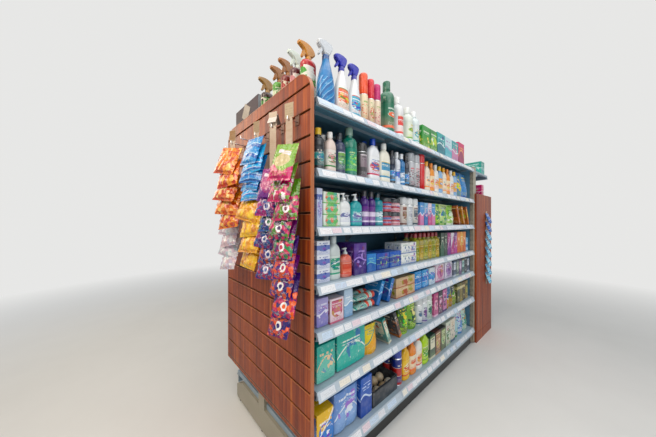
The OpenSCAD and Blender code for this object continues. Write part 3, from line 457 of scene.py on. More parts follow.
def printedFilm():
    paint = Paint("printedFilm", Specular_IOR_Level=0.5, Coat_Roughness=0.12, Coat_Weight=0.35)
    crease = paint.make(
        "ShaderNodeTexVoronoi", {"feature": "DISTANCE_TO_EDGE"},
        {"Vector": paint.stretched((48.0, 48.0, 30.0)), "Scale": 1.0})
    fold = paint.noise(60.0, 4.0, 0.6)
    return paint.worn(
        printed(paint, False)[0], fold, bloom=(0.55, 0.8, 0.22, "#f4f4f2"), gloss=(0.14, 0.3),
        relief=(crease.called("MINIMUM", 0.3) * 1.8 + fold, 0.0016, 0.6))


def mouldedCap():
    paint = Paint("mouldedCap", Specular_IOR_Level=0.5)
    return paint.worn(
        deepened(paint, paint.read("bodyInk")), paint.noise(35.0),
        bloom=(0.4, 0.8, 0.12, "#d4d4d2"), gloss=(0.2, 0.36),
        relief=(paint.noise(500.0, 2.0), 0.00005))


def rolledTin():
    paint = Paint("rolledTin", Metallic=1.0)
    brushed = paint.noise(1.0, 3.0, 0.7, (90.0, 90.0, 900.0))
    return paint.worn("#b9bbbd", brushed, bloom=(0.0, 1.0, 1.0, "#e6e7e8"), gloss=(0.2, 0.36),
                      relief=(brushed, 0.00005))


def clearBottle():
    paint = Paint("clearLiquidBottle", Specular_IOR_Level=0.6, IOR=1.45, Transmission_Weight=0.18)
    colour, label = printed(paint, True)
    cloud = paint.noise(18.0)
    bloom = paint.scaled(cloud, 0.4, 0.75, 0.0, 0.3) * (1 - label)
    return paint.finish(Base_Color=paint.mix(bloom, colour, "#e2e6e8"), Roughness=0.1 + 0.2 * label,
                        Normal=paint.bump(cloud + label * 0.3, 0.0004))


def kraftBoard():                     # brown board with a wavy inside, for the case
    paint = Paint("brownCaseBoard", Specular_IOR_Level=0.3)
    flute = (paint.split(paint.where)[0] * 1300.0).called("SINE") * 0.5 + 0.5
    fibre = paint.noise(260.0, 4.0, 0.7)
    ground, accent, mark = [paint.read(name) for name in inkNames[:3]]
    colour = paint.mix(paint.noise(7.0, 4.0), ground, accent)
    return paint.worn(colour, fibre, bloom=(0.55, 0.8, 0.5, mark), gloss=(0.55, 0.75),
                      relief=(flute * 0.25 + fibre * 0.75, 0.0004, 0.4))


def coatedPaper():                    # labels and tickets, with rows of plain marks
    paint = Paint("coatedPaper", Specular_IOR_Level=0.4)
    u, v = paint.printPlace()
    seed = paint.split(paint.read("plan", "Vector"))[1]
    line = (v + seed) * 5.0
    bars = ((paint.chance((u + seed) * 18.0, line) > 0.45) * (line % 1.0).within(0.3, 0.75)
            * v.within(0.12, 0.88) * u.within(0.06, 0.94))
    colour = paint.mix(bars * 0.32, paint.read("groundInk"), paint.read("markInk"))
    return paint.worn(
        colour, paint.noise(12.0), bloom=(0.45, 0.8, 0.2, "#c9c4b8"), gloss=(0.3, 0.45),
        relief=(paint.noise(800.0, 2.0), 0.00004))


goodsMaterial = {
    "board": printedBoard(), "bottle": printedBottle(), "film": printedFilm(), "cap": mouldedCap(),
    "tin": rolledTin(), "clear": clearBottle(), "kraft": kraftBoard(), "paper": coatedPaper(),
}
materialOrder = list(goodsMaterial)
print("goods materials are made")


# Mesh code for goods. A part is (corners, faces, map points of each face's corners, material key).

noPrint = (0.5, -0.5)                 # a map point outside every print
overPrint = 1.02                      # the map's height where a top shows the plain ground
onFace = 0.999                        # how near to one a share of half a box is on its face


def bare(faces):
    return [[noPrint] * len(face) for face in faces]


def bands(layers, steps):             # the quads between rings of points
    return [[r * steps + k, r * steps + (k + 1) % steps,
             (r + 1) * steps + (k + 1) % steps, (r + 1) * steps + k]
            for r, k in product(range(layers - 1), range(steps))]


def gridFaces(first, across, up):     # the quads of points that are laid row by row
    starts = [first + j * (across + 1) + i for j, i in product(range(up), range(across))]
    return [[a, a + 1, a + across + 2, a + across + 1] for a in starts]


def chamfered(low, high, edge, key):
    # a box with a narrow slope along each edge, so three points stand at each of its corners
    low, high = np.array(low, float), np.array(high, float)
    signs = list(product((0, 1), repeat=3))
    corners = np.array([
        [(low, high)[s[k]][k] + (0 if k == axis else (edge, -edge)[s[k]]) for k in range(3)]
        for s in signs for axis in range(3)])

    def point(s, axis):
        return 3 * signs.index(tuple(s)) + axis

    ring = [(0, 0), (1, 0), (1, 1), (0, 1)]
    faces = []
    for axis, s, order in ((1, 0, 1), (0, 1, 1), (1, 1, -1), (0, 0, -1), (2, 1, 1), (2, 0, -1)):
        faces.append([point((*o[:axis], s, *o[axis:]), axis) for o in ring[::order]])
    for axis, sp, sq in product(range(3), (0, 1), (0, 1)):
        p, q = [a for a in range(3) if a != axis]
        ends = [list(o) for o in ((sp, sq), (sp, sq))]
        for end in (0, 1):
            ends[end].insert(axis, end)
        faces.append([point(ends[0], p), point(ends[1], p), point(ends[1], q), point(ends[0], q)])
    faces += [[point(s, axis) for axis in range(3)] for s in signs]
    share = (corners - low) / (high - low)
    # the second and fourth face are the sides, and the two after them the top and bottom
    maps = [[(1 - y if n == 3 else y if n == 1 else x, overPrint if n in (4, 5) else z)
             for x, y, z in share[face]] for n, face in enumerate(faces)]
    return corners, faces, maps, key


def loft(sections, centre, key, label=None, steps=28, front=3.0):
    # rings of (height, half width, half depth, squareness), or of (height, radius), with the
    # label between two heights
    angles = 2 * math.pi * np.arange(steps) / steps - math.pi / 2
    c, s = np.cos(angles), np.sin(angles)
    corners = []
    for z, a, *rest in sections:
        b, power = rest or (a, 2)
        x = centre[0] + a * np.sign(c) * np.abs(c) ** (2 / power)
        y = centre[1] + b * np.sign(s) * np.abs(s) ** (2 / power)
        corners.append(np.stack([x, y, np.full(steps, z)], 1))
    low, high = label or (0, 1)
    share = [(ring[0] - low) / (high - low) if label else -0.5 for ring in sections]
    faces = bands(len(sections), steps)
    maps = []
    for (v0, v1), k in product(zip(share, share[1:]), range(steps)):
        u0 = ((k / steps + 0.5) % 1.0 - 0.5) * front + 0.5
        u1 = u0 + front / steps
        maps.append([(u0, v0), (u1, v0), (u1, v1), (u0, v1)])
    ends = [[r * steps + k for k in range(steps)] for r in (0, len(sections) - 1)]
    return np.concatenate(corners), faces + ends, maps + bare(ends), key


def rounded(points, passes=2):        # cuts the corners of a closed outline until it is smooth
    for step in range(passes):
        after = points[1:] + points[:1]
        points = [(a[0] * (1 - s) + b[0] * s, a[1] * (1 - s) + b[1] * s)
                  for a, b in zip(points, after) for s in (0.25, 0.75)]
    return points


def plate(outline, middle, thick, edge, key):
    # an outline in x and z, rounded and drawn out along y with a sloped rim
    outline = rounded(outline)[::-1]
    count = len(outline)
    half = thick / 2
    corners = []
    for y, inset in ((-half, edge), (edge - half, 0), (half - edge, 0), (half, edge)):
        for k, (x, z) in enumerate(outline):
            (ax, az), (bx, bz) = outline[k - 1], outline[(k + 1) % count]
            nx, nz = bz - az, ax - bx
            long = math.hypot(nx, nz) or 1.0
            corners.append((x - nx / long * inset, middle + y, z - nz / long * inset))
    faces = [list(range(count)), [3 * count + k for k in range(count)][::-1]]
    faces += [face[::-1] for face in bands(4, count)]
    return np.array(corners), faces, bare(faces), key


def smoothNoise(points, seed, size):  # a seeded sum of slow waves, the same on every run
    chance = random.Random(seed)
    total = np.zeros(len(points))
    for wave in range(7):
        way = np.array([chance.uniform(-1, 1) for axis in range(3)]) * (2.2 + wave) / size
        total += np.sin(points @ way * 3.1 + chance.uniform(0, 6.3)) / (1 + 0.5 * wave)
    return total / 3.0


def blocked(w, d, h, seed, rolls):    # a soft wrapped block; rolls show through its film
    n = 28 if rolls else 10
    steps = np.linspace(-1, 1, n + 1)
    corners = []
    faces = []
    for axis, sign in ((1, -1), (0, 1), (1, 1), (0, -1), (2, 1), (2, -1)):
        outward = 1 if (sign < 0) == (axis == 1) else -1
        faces += [quad[::outward] for quad in gridFaces(len(corners), n, n)]
        for b, a in product(steps, steps):
            point = [a, b]
            point.insert(axis, sign)
            corners.append(point)
    corners = np.array(corners, float)
    bulge = np.cos(corners * math.pi / 2 * 0.96) ** 0.35
    around = np.stack([bulge[:, 1] * bulge[:, 2], bulge[:, 0] * bulge[:, 2],
                       bulge[:, 0] * bulge[:, 1]], 1)
    flat = np.array([0.93, 0.84, 0.93])
    shape = corners * 0.985 * (flat + (1 - flat) * around)
    if rolls:
        valley = [1 - np.abs(np.sin(math.pi * count * (corners[:, axis] + 1) / 2)) ** 0.6
                  for count, axis in zip(rolls, (0, 2))]
        shape[:, 1] *= 1 - 0.2 * np.clip(valley[0] + 0.5 * valley[1], 0, 1)
    half = np.array([w, d, h]) / 2
    place = shape * half
    swell = np.abs(smoothNoise(place, seed, 70.0) * 1.6)
    place -= place / np.linalg.norm(place, axis=1)[:, None] * swell[:, None]
    place += half
    place[:, 2] = np.clip(place[:, 2], 0, h)
    maps = []
    for face in faces:
        points = []
        for x, y, z in corners[face]:
            front, level = abs(y) > onFace, abs(z) > onFace
            u = (x + 1) / 2 if front or level else (y + 1) / 2 + 1.0
            points.append((u, overPrint if level and not front else (z + 1) / 2))
        maps.append(points)
    return place, faces, maps, "film"


def sheetPair(w, h, across, up, thickness):
    # front and back film of a sealed pack, joined round their edges; thickness(u, v) is the half depth
    grid = [(i / across, j / up) for j in range(up + 1) for i in range(across + 1)]
    size = len(grid)
    corners = [(u * w, sign * thickness(u, v), v * h) for sign in (-1, 1) for u, v in grid]
    quads = gridFaces(0, across, up)
    faces = quads + [[a + size for a in quad[::-1]] for quad in quads]
    maps = [[grid[a % size] for a in face] for face in faces]
    row = across + 1
    rim = (list(range(across)) + [across + j * row for j in range(up)]
           + [up * row + across - i for i in range(across)] + [(up - j) * row for j in range(up)])
    for a, b in zip(rim, rim[1:] + rim[:1]):
        faces.append([b, a, a + size, b + size])
        maps.append([(0.5, 0.02)] * 4)
    return np.array(corners), faces, maps, "film"


def ribbed(x, y, low, high, radius, key, steps=36, dome=2.0):
    # a screw cap with grip ribs and a soft top edge
    rings = [(low, radius), (high - dome, radius * 0.985), (high - dome * 0.3, radius * 0.93),
             (high, radius * 0.82)]
    corners, *rest = loft(rings, (x, y), key, steps=steps)
    grip = (1 - 0.035 * (np.arange(2 * steps) % 2))[:, None]
    corners[:2 * steps, :2] = (x, y) + (corners[:2 * steps, :2] - (x, y)) * grip
    return corners, *rest


def cartonParts(w, d, h, look):
    flap = min(1.2, w * 0.02)
    return [
        chamfered((0, 0, 0), (w, d, h - 0.6), 0.9, "board"),
        chamfered((1.4, 1.6, h - 0.7), (w - 1.4, d - 2.4, h), 0.3, "board"),
        chamfered((w * 0.3, 0.8, h - 0.75), (w * 0.7, 1.5 + flap, h - 0.1), 0.2, "board"),
    ]


def bottleParts(w, d, h, look):
    r = w / 2
    neck = r * 0.42
    shoulder = h * 0.66
    cap = h * 0.84
    rings = [(0, r - 4), (1.2, r - 1.6), (4, r), (h * 0.1, r), (h * 0.105, r - 0.7),
             (h * 0.56, r - 0.7), (h * 0.565, r), (shoulder - 4, r)]
    for k in range(7):
        turn = k / 6 * math.pi / 2
        rings.append((shoulder + (cap - 6 - shoulder) * math.sin(turn) * 0.86,
                      r - (r - neck) * (1 - math.cos(turn))))
    rings += [(cap - 3, neck), (cap - 2, neck + 2), (cap, neck + 2)]
    return [
        loft(rings, (r, r), look["made"], (h * 0.11, h * 0.555)),
        ribbed(r, r, cap, h, neck + 3, "cap"),
    ]


def canParts(w, d, h, look):
    r = w / 2
    cap = h * (1 - look.get("capShare", 0.24))
    layers = [
        ("tin", None, [(0, 4), (0, 2.6), (1.2, 0.6), (3, 0.4), (4.2, 1.4)]),
        ("bottle", (5, cap - 9), [(4, 1.4), (5, 0.8), (cap - 9, 0.8), (cap - 7, 1.2)]),
        ("tin", None, [(cap - 7.5, 0.4), (cap - 6, 0.2), (cap - 4.5, 1.0), (cap, 4.5)]),
        ("cap", None, [(cap - 1, 2), (cap, 1.6), (h - 12, 2.2), (h - 6, 3.4), (h - 2, 6.5),
                       (h - 0.4, 11), (h, 16)]),
    ]
    return [loft([(z, r - inset) for z, inset in rings], (r, r), key, label)
            for key, label, rings in layers]


def jarParts(w, d, h, look):
    r = w / 2
    lid = h * 0.7
    rings = [(0, 6), (1, 2.5), (5, 0.6), (h * 0.12, 0.6), (h * 0.13, 1.2), (lid - 9, 1.2),
             (lid - 8, 0.6), (lid - 5, 2.5), (lid - 1, 5), (lid + 1, 5)]
    return [
        loft([(z, r - inset) for z, inset in rings], (r, r), "bottle", (h * 0.13, lid - 9)),
        ribbed(r, r, lid, h, r - 1, "cap", 56, 3.5),
    ]


def flaskBody(w, d, h, look):
    a, b = w / 2, d / 2
    slim = (a - 0.6, b - 0.6, 2.8)
    rings = [(0, a * 0.86, b * 0.82, 2.6), (1.5, a * 0.96, b * 0.95, 2.6), (5, a, b, 2.8),
             (h * 0.14, a, b, 2.8), (h * 0.15, *slim), (h * 0.4, *slim), (h * 0.66, *slim),
             (h * 0.67, a, b, 2.8)]
    for share, wide, deep in ((0.8, 0.96, 0.99), (0.87, 0.84, 0.94), (0.92, 0.66, 0.84),
                              (0.96, 0.44, 0.68), (0.99, 0.3, 0.52), (1.0, 0.26, 0.48)):
        rings.append((h * share, max(a * wide, b * 0.5), b * deep, 2.5))
    return loft(rings, (a, b), look["made"], (h * 0.155, h * 0.655), front=2.6)


def flaskParts(w, d, h, look):
    body = h * 0.84
    r = d * 0.31
    return [
        flaskBody(w, d, body, look),
        loft([(body - 1, r * 0.8), (body + 4, r * 0.8)], (w / 2, d / 2), "cap", steps=24),
        ribbed(w / 2, d / 2, body + 2.5, h, r, "cap"),
    ]


def pumpParts(w, d, h, look):
    body = h * 0.78
    x, y = w / 2, d / 2
    nose = [(-0.5, 0.935), (-0.5, 0.965), (-0.2, 0.99), (0.17, 1), (0.18, 0.945), (-0.15, 0.94)]
    return [
        flaskBody(w, d, body, look),
        ribbed(x, y, body - 1, body + h * 0.07, d * 0.26, "cap"),
        loft([(body + h * 0.06, d * 0.15), (body + h * 0.1, d * 0.13), (h * 0.945, d * 0.075)],
             (x, y), "cap", steps=20),
        plate([(x + d * a, h * b) for a, b in nose], y, d * 0.24, 1.6, "cap"),
    ]


guns = {
    # rings are shares of the bottle's height, width and depth; head, lever and nozzle are shares
    # of the whole width and height, with the heights from base up; collar is its top, width and
    # ink; neck is its foot and width, and its rise over base and width at the top
    "trigger": {
        "body": 0.72, "label": (0.07, 0.6), "collar": (0.79, 1.12, "cap"), "base": 0.8,
        "neck": (0.785, 0.8, 0.0, 0.75), "thick": ((0.42, 4.0), (0.22, 1.8)),
        "rings": [(0, 0.9, 0.86), (0.012, 0.97, 0.95), (0.04, 1, 1), (0.25, 0.99, 1),
                  (0.45, 0.93, 0.98), (0.62, 0.8, 0.92), (0.76, 0.62, 0.82), (0.86, 0.47, 0.72),
                  (0.93, 0.36, 0.62), (1, 0.3, 0.56)],
        "head": [(0.3, 0.05), (0.02, 0.1), (0.0, 0.165), (0.26, 0.198), (0.6, 0.2),
                 (0.86, 0.178), (0.88, 0.12), (0.7, 0.02), (0.68, 0), (0.36, 0)],
        "lever": [(0.3, 0.1), (0.19, 0.1), (0.16, 0.03), (0.04, -0.02), (0.09, -0.042),
                  (0.24, 0.02)],
        "nozzle": (0.16, (0, 0.108), (0.07, 0.166)),
    },
    "sprayer": {
        "body": 0.75, "label": (0.09, 0.855), "collar": (0.8, 1.15, "head"), "base": 0.8,
        "neck": (0.795, 0.9, 0.05, 0.9), "thick": ((0.44, 5.0), (0.24, 2.0)),
        "rings": [(0, 0.9, 0.86), (0.01, 0.97, 0.95), (0.03, 1, 1), (0.08, 1, 1),
                  (0.085, 0.985, 0.98), (0.86, 0.985, 0.98), (0.865, 1, 1), (0.92, 0.995, 0.99),
                  (0.95, 0.95, 0.95), (0.975, 0.84, 0.86), (0.99, 0.62, 0.72), (1, 0.36, 0.54)],
        "head": [(0.34, 0), (0.27, 0.06), (0.1, 0.105), (-0.19, 0.135), (-0.18, 0.188),
                 (0.12, 0.199), (0.4, 0.2), (0.72, 0.172), (0.97, 0.105), (0.94, 0.06), (0.68, 0)],
        "lever": [(0.3, 0.09), (0.14, 0.09), (0.1, 0.03), (0.0, -0.008), (0.08, -0.03),
                  (0.26, 0.03)],
        "nozzle": (0.17, (-0.21, 0.138), (-0.12, 0.186)),
    },
}


def gunParts(w, d, h, look, kind="trigger"):
    gun = guns[kind]
    x, y = w / 2, d / 2
    body, base = h * gun["body"], h * gun["base"]
    neck = d * 0.25
    collarTop, collarWide, collarKey = gun["collar"]
    neckLow, lowWide, neckRise, topWide = gun["neck"]
    side, *nozzle = gun["nozzle"]
    ends = [(w * a, y + d * side * s, base + h * b) for s, (a, b) in zip((-1, 1), nozzle)]
    return [
        loft([(body * s, max(x * a, y * 0.5), y * b, 2.5) for s, a, b in gun["rings"]], (x, y),
             look["made"], [body * s for s in gun["label"]], front=2.6),
        ribbed(x, y, body - 1, h * collarTop, neck * collarWide, collarKey),
        loft([(h * neckLow, neck * lowWide), (base + max(3, h * neckRise), neck * topWide)],
             (x, y), "head", steps=20),
        *[plate([(w * a, base + h * b) for a, b in gun[name]], y, d * thick, edge, "head")
          for name, (thick, edge) in zip(("head", "lever"), gun["thick"])],
        chamfered(*ends, 2.0, "head"),
    ]


def packParts(w, d, h, look):
    return [blocked(w, d, h, look["seed"], look.get("rolls"))]


def pouchParts(w, d, h, look):
    def half(u, v):
        if v > 0.93:                  # the crimped upper seal
            return 0.5 + 0.25 * math.sin(v * 260.0)
        side = math.sin(math.pi * min(1.0, max(0.0, (u - 0.03) / 0.94))) ** 0.55
        body = min(1.0, (1 - v) / 0.62) ** 0.8 * (0.82 + 0.18 * min(1.0, v / 0.12))
        return max(0.5, (d / 2 - 2) * side * min(1.0, min(u, 1 - u) / 0.09) * body)
    corners, *rest = sheetPair(w, h, 16, 22, half)
    corners[:, 1] += d / 2
    wave = smoothNoise(corners, look["seed"], 60.0)
    corners[:, 1] = np.clip(corners[:, 1] + wave * 1.2, 0, d)
    return [(corners, *rest)]


def leanParts(w, d, h, look):
    tilt = math.radians(24)
    c, s = math.cos(tilt), math.sin(tilt)
    thick = (w - h * math.tan(tilt)) * c
    corners, *rest = chamfered((-thick, 0, 0), (0, d, (h - thick * s) / c), 0.9, "board")
    x, y, z = corners.T
    return [(np.stack([x * c + z * s + thick * c, y, z * c - x * s], 1), *rest)]


def tiltParts(w, d, h, look):         # the same carton, leaning the other way
    [(corners, *rest)] = leanParts(w, d, h, look)
    corners[:, 0] = w - corners[:, 0]
    return [(corners, *rest)]


def tubeParts(w, d, h, look):
    r = h / 2
    rings = [(0, r * 0.16, r * 0.98, 2), (w * 0.02, r * 0.18, r * 0.98, 2)]
    for share in [k / 7 for k in range(1, 8)]:
        rings.append((w * (0.02 + 0.8 * share), r * (0.18 + 0.8 * share ** 0.7), r * 0.98, 2))
    rings.append((w * 0.86, r * 0.7))
    standing = [loft(rings, (0, 0), "bottle", (w * 0.06, w * 0.8)),
                ribbed(0, 0, w * 0.86, w, r * 0.8, "cap")]
    return [(np.stack([c[:, 2], c[:, 1] + d / 2, h / 2 - c[:, 0]], 1), *rest)
            for c, *rest in standing]


forms = {
    "carton": cartonParts, "bottle": bottleParts, "can": canParts, "jar": jarParts,
    "flask": flaskParts, "pump": pumpParts, "trigger": gunParts, "pack": packParts,
    "pouch": pouchParts, "lean": leanParts, "tilt": tiltParts, "tube": tubeParts,
}
variants = {
    "clear": {"made": "clear"}, "rolls": {"rolls": (2, 2)},
    "highCap": {"capShare": 0.42}, "midCap": {"capShare": 0.36},
}


def lookOf(design, palette, seed=1.0, tall=1.0, variant=None):
    # a palette's codes are its ground, accent, mark, cap, body and head; one left out is the
    # ground, and the head goes with the cap
    codes = (palette.split("-") + [""] * 5)[:6]
    codes[5] = codes[5] or codes[3]
    names = ("ground", "accent", "mark", "cap", "body", "head")
    return {**{name: ink(code or codes[0]) for name, code in zip(names, codes)}, "made": "bottle",
            "kind": designs.index(design), "seed": seed, "tall": tall, **variants.get(variant, {})}


seedStep = 0.173                      # keeps the prints of neighbouring seeds apart
sharpAngle = 38                       # edges from this angle on stay sharp


class Batch:                          # gathers parts with their inks, and becomes one mesh object
    def __init__(self):
        self.corners, self.faces, self.maps = [], [], []
        self.slots, self.inks, self.plan = [], [], []
        self.count = 0

    def add(self, part, matrix, look):
        corners, faces, maps, key = part
        place = corners @ np.array(matrix.to_3x3()).T + np.array(matrix.translation)
        self.corners.append(place * metre)
        self.faces += [[self.count + c for c in face] for face in faces]
        for points in maps:
            self.maps += points
        self.count += len(corners)
        last = look[key if key in ("cap", "head") else "body"]
        slot = materialOrder.index("cap" if key == "head" else key)
        plan = (look["kind"], look["seed"] * seedStep, look["tall"])
        self.slots += [slot] * len(faces)
        self.inks += [(look["ground"], look["accent"], look["mark"], last)] * len(faces)
        self.plan += [plan] * len(faces)

    def finish(self, name, replaced, slot):
        mesh = meshed(name, np.concatenate(self.corners).tolist(), self.faces)
        for material in goodsMaterial.values():
            mesh.materials.append(material)
        mesh.polygons.foreach_set("material_index", self.slots)
        layer = mesh.uv_layers.new(name="printMap")
        layer.data.foreach_set("uv", np.array(self.maps, np.float32).ravel())
        inks = np.array(self.inks, np.float32)
        for n, key in enumerate(inkNames):
            colours = mesh.attributes.new(key, "FLOAT_COLOR", "FACE")
            colours.data.foreach_set("color", inks[:, n].ravel())
        plan = mesh.attributes.new("plan", "FLOAT_VECTOR", "FACE")
        plan.data.foreach_set("vector", np.array(self.plan, np.float32).ravel())
        edit = bmesh.new()
        edit.from_mesh(mesh)
        bmesh.ops.recalc_face_normals(edit, faces=edit.faces)
        edit.to_mesh(mesh)
        edit.free()
        mesh.shade_smooth()
        mesh.set_sharp_from_angle(angle=math.radians(sharpAngle))
        mesh.validate()
        piece = linked(name, mesh)
        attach(piece, "root")
        if replaced:
            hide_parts(*replaced)
        print(name, len(mesh.polygons), "faces")
        return piece


# Goods in rows. A line is form, facings, width x depth x height, tiers x rows, design, palettes

stock = {"gap": 6, "back": 22, "frontZone": 205, "backZone": 165, "margin": 22, "freePlay": 4,
         "lip": 38, "topFree": 400}


def readGoods(table):                 # an indented line goes on with the one above it
    shelves = []
    for block in table.strip().replace("\n  ", " ").split("\n\n"):
        shelves.append([])
        for line in block.splitlines():
            form, facings, size, piled, design, *palettes = line.split()
            form, *variant = form.split(":")
            shelves[-1].append({
                "form": form, "variant": "".join(variant), "facings": int(facings),
                "size": [int(n) for n in size.split("x")], "design": design,
                "piled": [int(n) for n in piled.split("x")], "palettes": palettes})
    return shelves


def freeHeight(steps, k):
    if k == len(steps):
        return stock["topFree"]
    return steps[k] * run["slotPitch"] - stock["lip"] - stock["freePlay"]


def entryStart(entries, n):
    return stock["margin"] + sum(e["facings"] * (e["size"][0] + stock["gap"]) for e in entries[:n])


def stockRow(batch, entries, length, zone, free, matrix, seed):
    gap, seat = stock["gap"], run["seat"]
    for i, entry in enumerate(entries):
        w, d, h = entry["size"]
        palettes = entry["palettes"]
        for n in range(entry["facings"] if palettes else 0):
            x = entryStart(entries, i) + n * (w + gap)
            if x + w > length - stock["margin"]:
                continue
            pick = n % len(palettes)
            look = lookOf(entry["design"], palettes[pick], seed + 7 * i + pick, h / w,
                          entry["variant"])
            parts = forms[entry["form"]](w, d, h, look)
            for row, tier in product(range(entry["piled"][1]), range(entry["piled"][0])):
                if (row + 1) * (d + gap) > zone or (tier + 1) * (h + seat) > free:
                    continue
                at = matrix @ moved(x, row * (d + gap), seat + tier * (h + seat))
                for part in parts:
                    batch.add(part, at, look)


